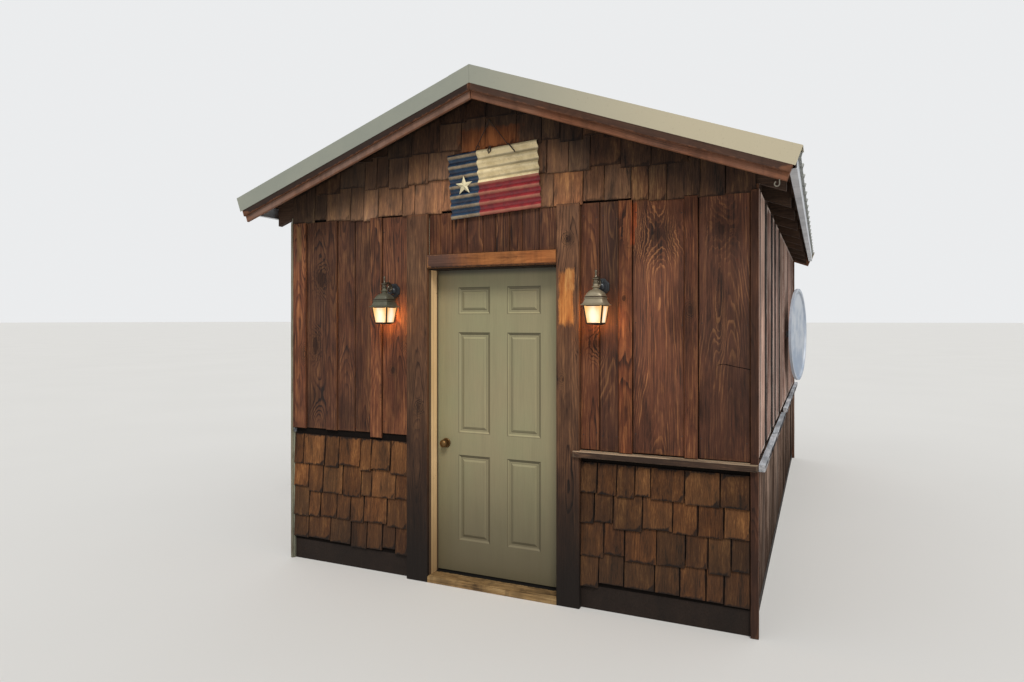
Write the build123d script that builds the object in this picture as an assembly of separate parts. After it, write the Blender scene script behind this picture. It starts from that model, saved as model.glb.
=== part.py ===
"""A small timber garden shed with board-and-batten walls, a steel roof and a panelled door.

Millimetres. +X is to the right of someone facing the door, +Y runs from the
door to the back of the shed and +Z is up. The origin is on the ground, at the
centre of the shed's footprint.
"""

from build123d import *
from math import cos, pi, radians, sin, tan
import os

# Main sizes of the shed
wall_width = 3230
wall_depth = 5490
plate_top = 2530
roof_pitch = 20
front_overhang = 300
eave_overhang = 165

# Wall build-up, from outside to inside
cladding = 18
wall_core = 146
base_height = 140
base_reveal = 17
floor_thickness = 38
ledge_top = 956
ledge_thickness = 40
ledge_out = 46
ledge_ear = 38
ledge_break = (2340, 2650)
stub_length = 26
stub_out = 8
board_drop = 80
butt_gap = 1

# Corner boards
corner_width = 42
corner_proud = 10
corner_drop = 70

# Doorway and door frame
leaf_width = 914
leaf_height = 2032
leaf_thickness = 44
leaf_clear = 8
leaf_gap = 5
leaf_inset = 120
jamb_thickness = 32
stop_lap = 5
stop_gap = 5
sill_height = 42
sill_out = 22
sill_fall = 6

# Boards round the doorway
casing_left = 160
casing_right = 146
casing_proud = 22
casing_reveal = 5
header_reveal = 4
header_height = 88
header_proud = 30

# Door stiles, rails and panels, each panel a sunk field with a raised centre
stile_width = 160
mullion_width = 126
bottom_rail = 210
low_panel_height = 575
lock_rail = 150
frieze_rail = 123
top_panel_height = 179
top_rail = 120
panel_sunk = 9
panel_moulding = 16
panel_margin = 26
panel_raise = 6

# Knob, with its rose, spindle and inside knob
knob_across = 390
knob_height = 860
knob_radius = 27
knob_reach = 62
knob_thickness = 36
knob_steps = 6
knob_first_turn = -65
knob_last_turn = 80
knob_throat = 2
turned_sides = 32
rose_radius = 32
rose_thickness = 9
neck_radius = 11
spindle_radius = 6
spindle_clearance = 0.08

# Hinges
low_hinge_inset = 230
top_hinge_inset = 162
hinge_length = 90
hinge_plate = 2
hinge_plate_depth = 34
knuckle_radius = 6
hinge_pin_radius = 3
pin_clearance = 0.05
knuckle_gap = 0.5

# Roof timbers
rafter_width = 38
rafter_depth = 140
rafter_pairs = 10
tail_setback = 15
heel_cut = 27
ridge_width = 38
blocking_thickness = 38
deck_thickness = 19
deck_reach = 20
barge_thickness = 38
timber_gap = 0.5

# Roof sheets and trims
sheet = 1.2
trim_sheet = 1.5
rib_pitch = 304.5
rib_height = 22
rib_base = 62
rib_top = 24
panel_start = 20
panel_reach = 62
cap_leg = 150
rake_face = 103
rake_leg = 165
rake_reach = 40
eave_reach = 46
eave_leg = 96
eave_face_height = 90
eave_return = 38

# Wall lanterns
lantern_across = 735
lantern_height = 1940
lantern_reach = 110
plate_radius = 55
plate_thickness = 14
arm_radius = 7
arm_crest = 26
pane_top_width = 120
pane_foot_width = 92
glass_low = -212
glass_high = -114
pane = 2.5
post = 6
base_plate = 10
base_drip = 3
ring_height = 4
cap_profile = ((0, 144), (4, 148), (20, 128), (36, 124), (40, 112), (64, 92), (88, 58), (104, 28))
lantern_sides = 16
lantern_neck_radius = 12
glass_setback = 0.5
neck_length = 22
collar_length = 24
stem_profile = (
    (14, 0), (14, 8), (10, 12), (10, 20), (17, 24), (17, 28), (11, 32), (14, 38), (11, 46),
    (4, 52), (3, 84),
)

# Painted corrugated sheet and its star
flag_width = 632
flag_height = 422.5
flag_across = 28
flag_rise = 180
flag_tilt = 4
flag_wave = 65
flag_depth = 11
flag_sheet = 1.2
flag_clear = 8
star_radius = 64
star_inner = 0.382
star_across = -203
star_drop = 18
star_thickness = 3
nail_across = 0
nail_rise = 390
nail_radius = 3
nail_out = 6
wire_radius = 2.6
wire_feet = (-100, 130)

# Screw hook under the barge board
hook_inset = 35
hook_wire = 3.4
hook_bend = 12
hook_shank = 22
hook_turn = 250
hook_seat = 0.3
hook_sink = 5

# Round disc on the right-hand wall
disc_radius = 455
disc_thickness = 22
disc_rim = 26
disc_bevel = 6
disc_back = 3505
disc_height = 1600
disc_stand = 98
disc_turn = 7.5
bracket_width = 60

# Places worked out from the sizes above
half_width = wall_width / 2
half_depth = wall_depth / 2
core_x = half_width - cladding
core_y = half_depth - cladding
inner_x = core_x - wall_core
inner_y = core_y - wall_core
roof_y = half_depth + front_overhang
slope = radians(roof_pitch)
soffit_ridge = plate_top - heel_cut + core_x * tan(slope)
clad_bottom = base_height + base_reveal
board_top = plate_top - board_drop
corner_top = plate_top - corner_drop
leaf_bottom = sill_height + leaf_clear
leaf_half = leaf_width / 2
rabbet_half = leaf_half + leaf_gap
stop_half = leaf_half - stop_lap
opening_half = rabbet_half + jamb_thickness
leaf_top = leaf_bottom + leaf_height
rabbet_top = leaf_top + leaf_gap
opening_top = rabbet_top + jamb_thickness
leaf_front = -half_depth + leaf_inset
leaf_back = leaf_front + leaf_thickness
casing_edge = stop_half + casing_reveal
header_bottom = leaf_top + header_reveal
header_top = header_bottom + header_height
barge_end = half_width + eave_overhang
eave_face = barge_end + eave_reach
flag_centre = board_top + flag_rise
deck_low = rafter_depth
deck_high = rafter_depth + deck_thickness
sheet_low = deck_high + trim_sheet
rib_crest = sheet_low + rib_height + sheet
cap_low_lift = rib_crest + trim_sheet


def height_at(across, lift=0.0):
    """Height of the plane that lies 'lift' above the rafters' underside."""
    return soffit_ridge - abs(across) * tan(slope) + lift / cos(slope)


def box(x, y, z):
    """A box from its (low, high) ranges along X, Y and Z."""
    size = (x[1] - x[0], y[1] - y[0], z[1] - z[0])
    return Pos(x[0], y[0], z[0]) * Box(*size, align=(Align.MIN, Align.MIN, Align.MIN))


def prism_y(points, y):
    """An outline in (X, Z) run along Y between two places."""
    face = Plane.XZ * make_face(Polyline(*points, close=True))
    return Pos(0, y[1], 0) * extrude(face, y[1] - y[0])


def prism_x(points, x):
    """An outline in (Y, Z) run along X between two places."""
    face = Plane.YZ * make_face(Polyline(*points, close=True))
    return Pos(x[0], 0, 0) * extrude(face, x[1] - x[0])


def prism_z(points, z):
    """An outline in (X, Y) run along Z between two heights."""
    face = make_face(Polyline(*points, close=True))
    return Pos(0, 0, z[0]) * extrude(face, z[1] - z[0])


def rectangle_at(width, depth, height):
    """The corners of a level rectangle centred on the Z axis."""
    x = width / 2
    y = depth / 2
    return [(-x, -y, height), (x, -y, height), (x, y, height), (-x, y, height)]


def ring_at(radius, height, sides):
    """The corners of a level regular outline centred on the Z axis."""
    turns = [2 * pi * index / sides for index in range(sides)]
    return [(radius * cos(turn), radius * sin(turn), height) for turn in turns]


def stack(levels):
    """A solid through level outlines of as many corners each, with flat sides between."""
    faces = [Face(Wire.make_polygon(levels[0])), Face(Wire.make_polygon(levels[-1]))]
    for low, high in zip(levels, levels[1:]):
        for index in range(len(low)):
            corners = (low[index - 1], low[index], high[index], high[index - 1])
            faces.append(Face(Wire.make_polygon(corners)))
    return Solid(Shell(faces))


def turned(profile, sides):
    """A turned piece, as flats round the Z axis, from its (radius, height) pairs."""
    return stack([ring_at(radius, height, sides) for radius, height in profile])


def both_sides(solid):
    """The solid and its mirror image across the ridge line."""
    return [solid, mirror(solid, about=Plane.YZ)]


def front_and_back(solid):
    """The solid and its mirror image at the other end of the shed."""
    return [solid, mirror(solid, about=Plane.XZ)]


def slope_layer(low, high, start, end, square=True):
    """Outline in (X, Z) of a layer on the right slope, plumb at the ridge."""
    run = (high - low) * sin(slope) if square else 0
    return [
        (start, height_at(start, low)),
        (end, height_at(end, low)),
        (end + run, height_at(end + run, high)),
        (start, height_at(start, high)),
    ]


def gable(half, lift, bottom):
    """Outline in (X, Z) of a gable up to a plane above the rafters' underside."""
    return [
        (-half, bottom),
        (half, bottom),
        (half, height_at(half, lift)),
        (0, height_at(0, lift)),
        (-half, height_at(half, lift)),
    ]


# Base, floor and walls
def base_beams():
    front_x = (opening_half, core_x)
    end_y = (core_y - wall_core, core_y)
    side_y = (-core_y + wall_core + butt_gap, core_y - wall_core - butt_gap)
    side = box((core_x - wall_core, core_x), side_y, (0, base_height))
    front = box(front_x, (-end_y[1], -end_y[0]), (0, base_height))
    back = box((-core_x, core_x), end_y, (0, base_height))
    return both_sides(side) + both_sides(front) + [back]


def floor_deck():
    room_x = inner_x - timber_gap
    room_y = inner_y - timber_gap
    return [box((-room_x, room_x), (-room_y, room_y), (0, floor_thickness))]


def wall_panels():
    front_y = (-core_y, -inner_y)
    back_y = (inner_y, core_y)
    side_y = (-inner_y, inner_y)
    gable_bottom = height_at(core_x)
    panels = {}
    right = box((opening_half, core_x), front_y, (base_height, gable_bottom))
    panels["front_wall_right"] = [right]
    panels["front_wall_left"] = [mirror(right, about=Plane.YZ)]
    over = (-opening_half, opening_half)
    panels["front_wall_over_door"] = [box(over, front_y, (opening_top, gable_bottom))]
    top = [(-core_x, gable_bottom), (core_x, gable_bottom), (0, soffit_ridge)]
    panels["front_gable"] = [prism_y(top, front_y)]
    panels["back_wall"] = [prism_y(gable(core_x, 0, base_height), back_y)]
    side = box((inner_x, core_x), side_y, (base_height, plate_top))
    panels["right_wall"] = [side]
    panels["left_wall"] = [mirror(side, about=Plane.YZ)]
    return panels


# Outside cladding, one sheet for each field of boards or shingles
def cladding_panels():
    clad_x = half_width + corner_proud - corner_width - butt_gap
    clad_y = half_depth + corner_proud - corner_width - butt_gap
    front_y = (-half_depth, -core_y)
    back_y = (core_y, half_depth)
    ledge_low = ledge_top - ledge_thickness
    left_edge = casing_edge + casing_left + butt_gap
    right_edge = casing_edge + casing_right + butt_gap
    board_z = (ledge_top, board_top)
    low_z = (clad_bottom, ledge_low)
    over_z = (header_top, board_top)
    panels = {}
    panels["front_boards"] = [
        box((-clad_x, -left_edge), front_y, board_z),
        box((-casing_edge, casing_edge), front_y, over_z),
        box((right_edge, clad_x), front_y, board_z),
    ]
    panels["front_shingles"] = [
        box((-clad_x, -left_edge), front_y, low_z),
        box((right_edge, clad_x), front_y, low_z),
    ]
    upper = gable(half_width, deck_low - timber_gap, corner_top + butt_gap)
    panels["front_gable_shingles"] = [prism_y(upper, front_y)]
    lower_back = box((-clad_x, clad_x), back_y, (clad_bottom, corner_top))
    back = prism_y(gable(half_width, deck_low - timber_gap, corner_top), back_y)
    panels["back_cladding"] = [lower_back + back]
    side_top = height_at(half_width) - timber_gap
    side = box((core_x, half_width), (-clad_y, clad_y), (clad_bottom, side_top))
    panels["right_cladding"] = [side]
    panels["left_cladding"] = [mirror(side, about=Plane.YZ)]
    return panels


def corner_boards():
    out_x = half_width + corner_proud
    out_y = half_depth + corner_proud
    outline = [
        (out_x, -out_y),
        (out_x, -out_y + corner_width),
        (core_x, -out_y + corner_width),
        (core_x, -core_y),
        (out_x - corner_width, -core_y),
        (out_x - corner_width, -out_y),
    ]
    posts = both_sides(prism_z(outline, (0, corner_top)))
    return posts + [mirror(post, about=Plane.XZ) for post in posts]


# Ledge boards between the boards above and the shingles below
def ledges():
    z = (ledge_top - ledge_thickness, ledge_top)
    out_x = half_width + corner_proud
    out_y = half_depth + corner_proud
    full_x = out_x - corner_width - butt_gap
    full_y = out_y - corner_width - butt_gap
    seat = corner_proud + timber_gap
    ear = (casing_edge + casing_right + butt_gap, casing_proud + timber_gap)
    ledge_start = ear[0] - ledge_ear
    front = [
        (ledge_start, -half_depth - ear[1]),
        (ear[0], -half_depth - ear[1]),
        (ear[0], -core_y),
        (full_x, -core_y),
        (full_x, -half_depth - seat),
        (out_x, -half_depth - seat),
        (out_x, -half_depth - ledge_out),
        (ledge_start, -half_depth - ledge_out),
    ]
    stub_x = (-full_x, -full_x + stub_length)
    stub = box(stub_x, (-half_depth - stub_out, -core_y), z)
    back = [
        (-full_x, half_depth),
        (full_x, half_depth),
        (full_x, half_depth + seat),
        (out_x, half_depth + seat),
        (out_x, half_depth + ledge_out),
        (-out_x, half_depth + ledge_out),
        (-out_x, half_depth + seat),
        (-full_x, half_depth + seat),
    ]
    right = [
        (half_width, -full_y),
        (half_width, full_y),
        (half_width + seat, full_y),
        (half_width + seat, out_y),
        (half_width + ledge_out, out_y),
        (half_width + ledge_out, -out_y),
        (half_width + seat, -out_y),
        (half_width + seat, -full_y),
    ]
    right_run = prism_z(right, z)
    worn = box((-half_width - stub_out, -half_width), (-full_y, full_y), z)
    gap_y = [place - half_depth for place in ledge_break]
    broken = box((core_x, half_width + 2 * ledge_out), gap_y, z)
    rest = right_run - broken
    return {
        "front_ledge": [prism_z(front, z), stub],
        "side_ledges": [worn] + list(rest.solids()),
        "back_ledge": [prism_z(back, z)],
    }


# Door frame, casings and sill
def door_frame():
    jamb = [
        (opening_half, -half_depth),
        (opening_half, -inner_y),
        (rabbet_half, -inner_y),
        (rabbet_half, leaf_front - stop_gap),
        (stop_half, leaf_front - stop_gap),
        (stop_half, -half_depth),
    ]
    right_jamb, left_jamb = both_sides(prism_z(jamb, (sill_height, opening_top)))
    head = [
        (-half_depth, opening_top),
        (-inner_y, opening_top),
        (-inner_y, rabbet_top),
        (leaf_front - stop_gap, rabbet_top),
        (leaf_front - stop_gap, leaf_top - stop_lap),
        (-half_depth, leaf_top - stop_lap),
    ]
    head_piece = prism_x(head, (-rabbet_half, rabbet_half)) - right_jamb - left_jamb
    nose = casing_edge - timber_gap
    tread_x = (-opening_half + timber_gap, opening_half - timber_gap)
    tread = box(tread_x, (-half_depth, -inner_y - timber_gap), (0, sill_height))
    nosing = [
        (-half_depth, 0),
        (-half_depth, sill_height),
        (-half_depth - sill_out, sill_height - sill_fall),
        (-half_depth - sill_out, 0),
    ]
    sill = tread + prism_x(nosing, (-nose, nose))
    return {
        "door_jamb_left": [left_jamb],
        "door_jamb_right": [right_jamb],
        "door_head": [head_piece],
        "door_sill": [sill],
    }


def casing(width):
    """A right-hand casing board that laps over the edge of the door frame."""
    lap = opening_half + timber_gap
    outline = [
        (casing_edge, -half_depth - casing_proud),
        (casing_edge + width, -half_depth - casing_proud),
        (casing_edge + width, -core_y),
        (lap, -core_y),
        (lap, -half_depth),
        (casing_edge, -half_depth),
    ]
    return prism_z(outline, (0, board_top))


def casings():
    lap = opening_top + timber_gap
    face = -half_depth - header_proud
    header = [
        (face, header_bottom),
        (face, header_top),
        (-core_y, header_top),
        (-core_y, lap),
        (-half_depth, lap),
        (-half_depth, header_bottom),
    ]
    half = casing_edge - timber_gap
    return {
        "door_casing_left": [mirror(casing(casing_left), about=Plane.YZ)],
        "door_casing_right": [casing(casing_right)],
        "door_header_board": [prism_x(header, (-half, half))],
    }


# Six-panel door
def panel_sinking(width, height):
    """What is cut from a door face for one panel: a moulded sinking less its raised field."""
    floor = (width - 2 * panel_moulding, height - 2 * panel_moulding)
    pocket = stack([rectangle_at(width, height, 0), rectangle_at(*floor, panel_sunk)])
    field = (width - 2 * panel_margin, height - 2 * panel_margin)
    crown = (field[0] - 2 * panel_moulding, field[1] - 2 * panel_moulding)
    raised = stack([rectangle_at(*field, 0), rectangle_at(*crown, panel_raise)])
    return pocket - Pos(0, 0, panel_sunk) * Rot(180, 0, 0) * raised


def door_leaf():
    leaf = box((-leaf_half, leaf_half), (leaf_front, leaf_back), (leaf_bottom, leaf_top))
    middle = (leaf_front + leaf_back) / 2
    panel_width = (leaf_width - 2 * stile_width - mullion_width) / 2
    centre_x = (mullion_width + panel_width) / 2
    low_panel = leaf_bottom + bottom_rail
    middle_panel = low_panel + low_panel_height + lock_rail
    top_panel = leaf_top - top_rail - top_panel_height
    rows = (
        (low_panel, low_panel + low_panel_height),
        (middle_panel, top_panel - frieze_rail),
        (top_panel, top_panel + top_panel_height),
    )
    for low, high in rows:
        sinking = panel_sinking(panel_width, high - low)
        z = (low + high) / 2
        for x in (-centre_x, centre_x):
            outside = Pos(x, leaf_front, z) * Rot(-90, 0, 0) * sinking
            inside = Pos(x, leaf_back, z) * Rot(90, 0, 0) * sinking
            leaf = leaf - outside - inside
    bore = Cylinder(spindle_radius + spindle_clearance, 2 * leaf_thickness)
    return leaf - Pos(-knob_across, middle, leaf_bottom + knob_height) * Rot(90, 0, 0) * bore


def door_knobs():
    face = leaf_thickness / 2
    start = face + timber_gap
    middle = face + knob_reach - knob_thickness / 2
    outline = [(spindle_radius, start), (neck_radius, start)]
    outline.append((neck_radius, face + rose_thickness + knob_throat))
    for step in range(knob_steps + 1):
        turn = radians(knob_first_turn + (knob_last_turn - knob_first_turn) * step / knob_steps)
        outline.append((knob_radius * cos(turn), middle + knob_thickness / 2 * sin(turn)))
    inside = [(radius, -height) for radius, height in reversed(outline)]
    place = Pos(-knob_across, (leaf_front + leaf_back) / 2, leaf_bottom + knob_height)
    place = place * Rot(90, 0, 0)
    knob = place * turned(inside + outline, turned_sides)
    edge = rose_thickness / 3
    profile = [(rose_radius, 0), (rose_radius, rose_thickness - edge),
               (rose_radius - edge, rose_thickness)]
    rose = turned(profile, turned_sides)
    rose = rose - Cylinder(neck_radius + spindle_clearance, 2 * rose_thickness + edge)
    lift = Pos(0, 0, face)
    return knob, [place * lift * rose, place * Rot(180, 0, 0) * lift * rose]


def hinges():
    """Butt hinges: plate, end knuckles and pin on the frame, plate and middle knuckle on the leaf."""
    pin_x = leaf_half + leaf_gap / 2
    pin_y = leaf_back + knuckle_radius
    plate_y = (leaf_back - hinge_plate_depth, pin_y)
    third = hinge_length / 3
    frame_side = []
    leaf_side = []
    lowest = leaf_bottom + low_hinge_inset
    highest = leaf_top - top_hinge_inset
    for height in (lowest, (lowest + highest) / 2, highest):
        low = height - hinge_length / 2
        z = (low, low + hinge_length)
        middle_z = (low + third, low + 2 * third)
        axis = Pos(pin_x, pin_y, low + hinge_length / 2)
        barrel = axis * Cylinder(knuckle_radius, hinge_length)
        middle_clear = Pos(pin_x, pin_y, sum(middle_z) / 2)
        clearing = middle_clear * Cylinder(knuckle_radius + knuckle_gap, third)
        ends_clear = axis * Cylinder(knuckle_radius + knuckle_gap, hinge_length)
        knuckle = middle_clear * Cylinder(knuckle_radius, third - 2 * knuckle_gap)
        bore = axis * Cylinder(hinge_pin_radius + pin_clearance, hinge_length)
        pin = axis * Cylinder(hinge_pin_radius, hinge_length)
        frame_plate = box((rabbet_half - hinge_plate, rabbet_half), plate_y, z)
        frame_half = (frame_plate + barrel) - clearing + pin
        leaf_plate = box((leaf_half, leaf_half + hinge_plate), plate_y, z)
        ends = ends_clear - clearing
        leaf_half_hinge = (leaf_plate - ends + knuckle) - bore
        frame_side.append(frame_half)
        leaf_side.append(leaf_half_hinge)
    return frame_side, leaf_side


# Roof
def rafter_places():
    first = -core_y + rafter_width / 2
    step = -2 * first / (rafter_pairs - 1)
    return [first + index * step for index in range(rafter_pairs)]


def rafters():
    ridge = ridge_width / 2
    seat = core_x - heel_cut / tan(slope)
    outline = [
        (ridge, height_at(ridge)),
        (seat, plate_top),
        (core_x, plate_top),
        (core_x, height_at(core_x)),
        (barge_end - tail_setback, height_at(barge_end - tail_setback)),
        (barge_end - tail_setback, height_at(barge_end - tail_setback, rafter_depth)),
        (ridge, height_at(ridge, rafter_depth)),
    ]
    solids = []
    for y in rafter_places():
        rafter = prism_y(outline, (y - rafter_width / 2, y + rafter_width / 2))
        solids += both_sides(rafter)
    return solids


def eave_blocking():
    inside = core_x - blocking_thickness
    outline = [
        (inside, plate_top),
        (core_x, plate_top),
        (core_x, height_at(core_x, rafter_depth)),
        (inside, height_at(inside, rafter_depth)),
    ]
    places = rafter_places()
    solids = []
    for before, after in zip(places, places[1:]):
        bay = (before + rafter_width / 2, after - rafter_width / 2)
        solids += both_sides(prism_y(outline, bay))
    return solids


def ridge_board():
    half = ridge_width / 2
    top = height_at(half, rafter_depth)
    return box((-half, half), (-core_y, core_y), (soffit_ridge, top))


def roof_deck():
    layer = slope_layer(deck_low, deck_high, timber_gap, barge_end + deck_reach)
    return both_sides(prism_y(layer, (-roof_y, roof_y)))


def roof_panel():
    """The right-hand ribbed sheet: its section along the eave, run down the slope."""
    count = round(2 * roof_y / rib_pitch)
    first = -(count - 1) * rib_pitch / 2
    under = [(-roof_y, sheet_low)]
    for index in range(count):
        centre = first + index * rib_pitch
        under += [
            (centre - rib_base / 2, sheet_low),
            (centre - rib_top / 2, sheet_low + rib_height),
            (centre + rib_top / 2, sheet_low + rib_height),
            (centre + rib_base / 2, sheet_low),
        ]
    under.append((roof_y, sheet_low))
    over = [(y, lift + sheet) for y, lift in reversed(under)]
    start = (panel_start - sheet_low * sin(slope)) / cos(slope)
    end = (barge_end + panel_reach - sheet_low * sin(slope)) / cos(slope)
    down = Vector(cos(slope), 0, -sin(slope))
    origin = Vector(0, 0, soffit_ridge) + down * start
    section = Plane(origin=origin, x_dir=(0, 1, 0), z_dir=down)
    return extrude(section * make_face(Polyline(*under, *over, close=True)), end - start)


def ridge_cap():
    reach = cap_leg * cos(slope)
    low = cap_low_lift
    high = low + trim_sheet
    outline = [
        (-reach, height_at(reach, low)),
        (0, height_at(0, low)),
        (reach, height_at(reach, low)),
        (reach, height_at(reach, high)),
        (0, height_at(0, high)),
        (-reach, height_at(reach, high)),
    ]
    return prism_y(outline, (-roof_y - trim_sheet, roof_y + trim_sheet))


def rake_trim():
    """The front right trim: a face in front of the barge board and a leg over the first rib."""
    top = rib_crest + trim_sheet
    bottom = top - rake_face
    rake_end = barge_end + rake_reach
    leg_end = rake_end + (rib_crest - bottom) * sin(slope)
    face = slope_layer(bottom, top, timber_gap, rake_end)
    leg = slope_layer(rib_crest, top, timber_gap, leg_end)
    outside = -roof_y - trim_sheet
    return prism_y(face, (outside, -roof_y)) + prism_y(leg, (outside, -roof_y + rake_leg))


def all_four(solid):
    """A front right piece at every end of the two slopes."""
    return [piece for side in both_sides(solid) for piece in front_and_back(side)]


def barge_board():
    layer = slope_layer(0, rafter_depth, timber_gap, barge_end)
    return prism_y(layer, (-roof_y, -roof_y + barge_thickness))


def eave_trim():
    """The right-hand eave trim, in two lengths that meet at mid-length."""
    inside = eave_face - trim_sheet
    eave_top = eave_face - eave_leg
    eave_bottom = height_at(eave_face, sheet_low) - eave_face_height
    outline = [
        (eave_top, height_at(eave_top, deck_high)),
        (eave_top, height_at(eave_top, sheet_low)),
        (eave_face, height_at(eave_face, sheet_low)),
        (eave_face, eave_bottom),
        (eave_face - eave_return, eave_bottom),
        (eave_face - eave_return, eave_bottom + trim_sheet),
        (inside, eave_bottom + trim_sheet),
        (inside, height_at(inside, deck_high)),
    ]
    far = roof_y - barge_thickness - butt_gap
    return front_and_back(prism_y(outline, (-far, -butt_gap / 2)))


# Wall lanterns
def square_stack(sections):
    """A solid through square sections given as (height, width)."""
    return stack([rectangle_at(width, width, height) for height, width in sections])


def lantern(across):
    """Backplate with its arm and finial, cage with its cap, and the four panes."""
    wall = -half_depth
    axis = Pos(across, wall - lantern_reach, lantern_height)
    plate_plane = Plane(origin=(across, wall, lantern_height), x_dir=(1, 0, 0),
                        z_dir=(0, -1, 0))
    plate = extrude(plate_plane * Rot(0, 0, 22.5) * RegularPolygon(plate_radius, 8),
                    plate_thickness)
    boss_outline = plate_plane * RegularPolygon(plate_radius / 2, lantern_sides)
    boss = extrude(boss_outline, 2 * plate_thickness)
    cap_low = glass_high + ring_height
    cap_rise = cap_profile[-1][0]
    collar_low = cap_low + cap_rise + neck_length
    arm_end = (wall - lantern_reach, collar_low + collar_length / 2)
    arm_start = (wall - plate_thickness, 0)
    crest = ((arm_start[0] + arm_end[0]) / 2, arm_end[1] + arm_crest)
    path = Plane.YZ * ThreePointArc(arm_start, crest, arm_end)
    path = Pos(across, 0, lantern_height) * path
    arm = sweep(Plane(origin=path @ 0, z_dir=path % 0) * RegularPolygon(arm_radius, 8), path=path)
    profile = [(radius, collar_low + rise) for radius, rise in stem_profile]
    stem = axis * turned(profile, lantern_sides)
    mount = plate + boss + arm + stem
    cap = square_stack([(cap_low + rise, width) for rise, width in cap_profile])
    neck_low = cap_low + cap_rise
    neck = turned([(lantern_neck_radius, neck_low), (lantern_neck_radius, collar_low)],
                  lantern_sides)
    base = square_stack((
        (glass_low - base_plate - base_drip, pane_foot_width - 2 * post),
        (glass_low - base_plate, pane_foot_width + post),
        (glass_low, pane_foot_width + post),
    ))
    ring_middle = Pos(0, 0, glass_high + ring_height / 2)
    ring = ring_middle * Box(pane_top_width, pane_top_width, ring_height)
    gap_foot = pane_foot_width - 2 * post
    gap_top = pane_top_width - 2 * post
    outer = square_stack(((glass_low, pane_foot_width), (glass_high, pane_top_width)))
    core = square_stack(((glass_low, gap_foot), (glass_high, gap_top)))
    across_gap = stack([rectangle_at(gap_foot, pane_foot_width + post, glass_low),
                        rectangle_at(gap_top, pane_top_width + post, glass_high)])
    along_gap = Rot(0, 0, 90) * across_gap
    posts = outer - core - across_gap - along_gap
    cage = cap + neck + base + ring + posts
    skin_foot = pane_foot_width - 2 * glass_setback
    skin_top = pane_top_width - 2 * glass_setback
    skin = square_stack(((glass_low, skin_foot), (glass_high, skin_top)))
    hollow = square_stack(((glass_low, skin_foot - 2 * pane), (glass_high, skin_top - 2 * pane)))
    shell = skin - hollow
    panes = (shell & across_gap) + (shell & along_gap)
    return mount, axis * cage, list((axis * panes).solids())


# Corrugated sheet picture with its star, nail and wire
def flag_place():
    back = -half_depth - flag_clear - flag_depth - flag_sheet
    return Pos(flag_across, back, flag_centre) * Rot(0, -flag_tilt, 0)


def tin_flag():
    half_wave = flag_wave / 2
    count = round(flag_height / half_wave)
    start = -count * half_wave / 2
    near = []
    far = []
    for index in range(count):
        low = start + index * half_wave
        side = flag_depth if index % 2 else -flag_depth
        for edges, shift in ((near, 0), (far, flag_sheet)):
            edges.append(ThreePointArc((shift, low), (side + shift, low + half_wave / 2),
                                       (shift, low + half_wave)))
    top = start + count * half_wave
    ends = [Line((0, start), (flag_sheet, start)), Line((0, top), (flag_sheet, top))]
    face = Plane.YZ * make_face(near + far + ends)
    sheet_solid = Pos(-flag_width / 2, 0, 0) * extrude(face, flag_width)
    return flag_place() * sheet_solid


def flag_star():
    points = []
    for index in range(10):
        angle = pi / 2 + index * pi / 5
        radius = star_radius * (star_inner if index % 2 else 1)
        points.append((radius * cos(angle), radius * sin(angle)))
    front = -half_depth - flag_clear - 2 * flag_depth - flag_sheet
    star = prism_y(points, (front - star_thickness, front))
    place = Pos(flag_across + star_across, 0, flag_centre - star_drop)
    return place * Rot(0, -flag_tilt, 0) * star


def rod(start, end, radius):
    """A round bar between two points."""
    line = Line(start, end)
    return sweep(Plane(origin=line @ 0, z_dir=line % 0) * Circle(radius), path=line)


def flag_hanger():
    wall = -half_depth
    wire_y = wall - flag_clear - flag_depth - flag_sheet / 2
    nail_height = flag_centre + nail_rise
    nail_end = wire_y - nail_radius - nail_out
    solid = rod((nail_across, wall, nail_height), (nail_across, nail_end, nail_height), nail_radius)
    tilt = radians(flag_tilt)
    for foot in wire_feet:
        edge = flag_centre + (foot - flag_across) * tan(tilt) + flag_height / 2 / cos(tilt)
        end = (foot, wire_y, edge + wire_radius)
        solid = solid + rod((nail_across, wire_y, nail_height), end, wire_radius)
    return solid


# Screw hook and round disc
def screw_hook():
    hook_across = barge_end - hook_inset
    seat = height_at(hook_across)
    y = -roof_y + barge_thickness / 2
    foot = seat - hook_shank
    wire = Pos(hook_across, y, foot) * RegularPolygon(hook_wire, 6)
    shank = extrude(wire, hook_shank + hook_sink)
    bend_axis = Axis((hook_across - hook_bend, y, foot), (0, 1, 0))
    bend = revolve(wire, bend_axis, hook_turn)
    above = slope_layer(-hook_seat, rafter_depth, barge_end / 2, barge_end)
    return shank + bend - prism_y(above, (-roof_y, -roof_y + barge_thickness))


def round_disc():
    rim_in = disc_radius - disc_rim
    web = disc_thickness / 3
    outline = [
        (0, 0),
        (disc_radius, 0),
        (disc_radius, disc_thickness),
        (rim_in, disc_thickness),
        (rim_in - disc_bevel, web),
        (0, web),
    ]
    profile = Plane.XZ * make_face(Polyline(*outline, close=True))
    disc_centre_y = disc_back - half_depth
    place = Pos(half_width + disc_stand, disc_centre_y, disc_height)
    place = place * Rot(0, 0, -disc_turn) * Rot(0, 90, 0)
    disc = place * revolve(profile, Axis.Z)
    half = bracket_width / 2
    behind = place * box((-half, half), (-half, half), (-2 * disc_stand, 0))
    field = box((half_width, half_width + 2 * disc_stand),
                (disc_centre_y - 2 * half, disc_centre_y + 2 * half),
                (disc_height - 2 * half, disc_height + 2 * half))
    return disc, behind & field


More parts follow.
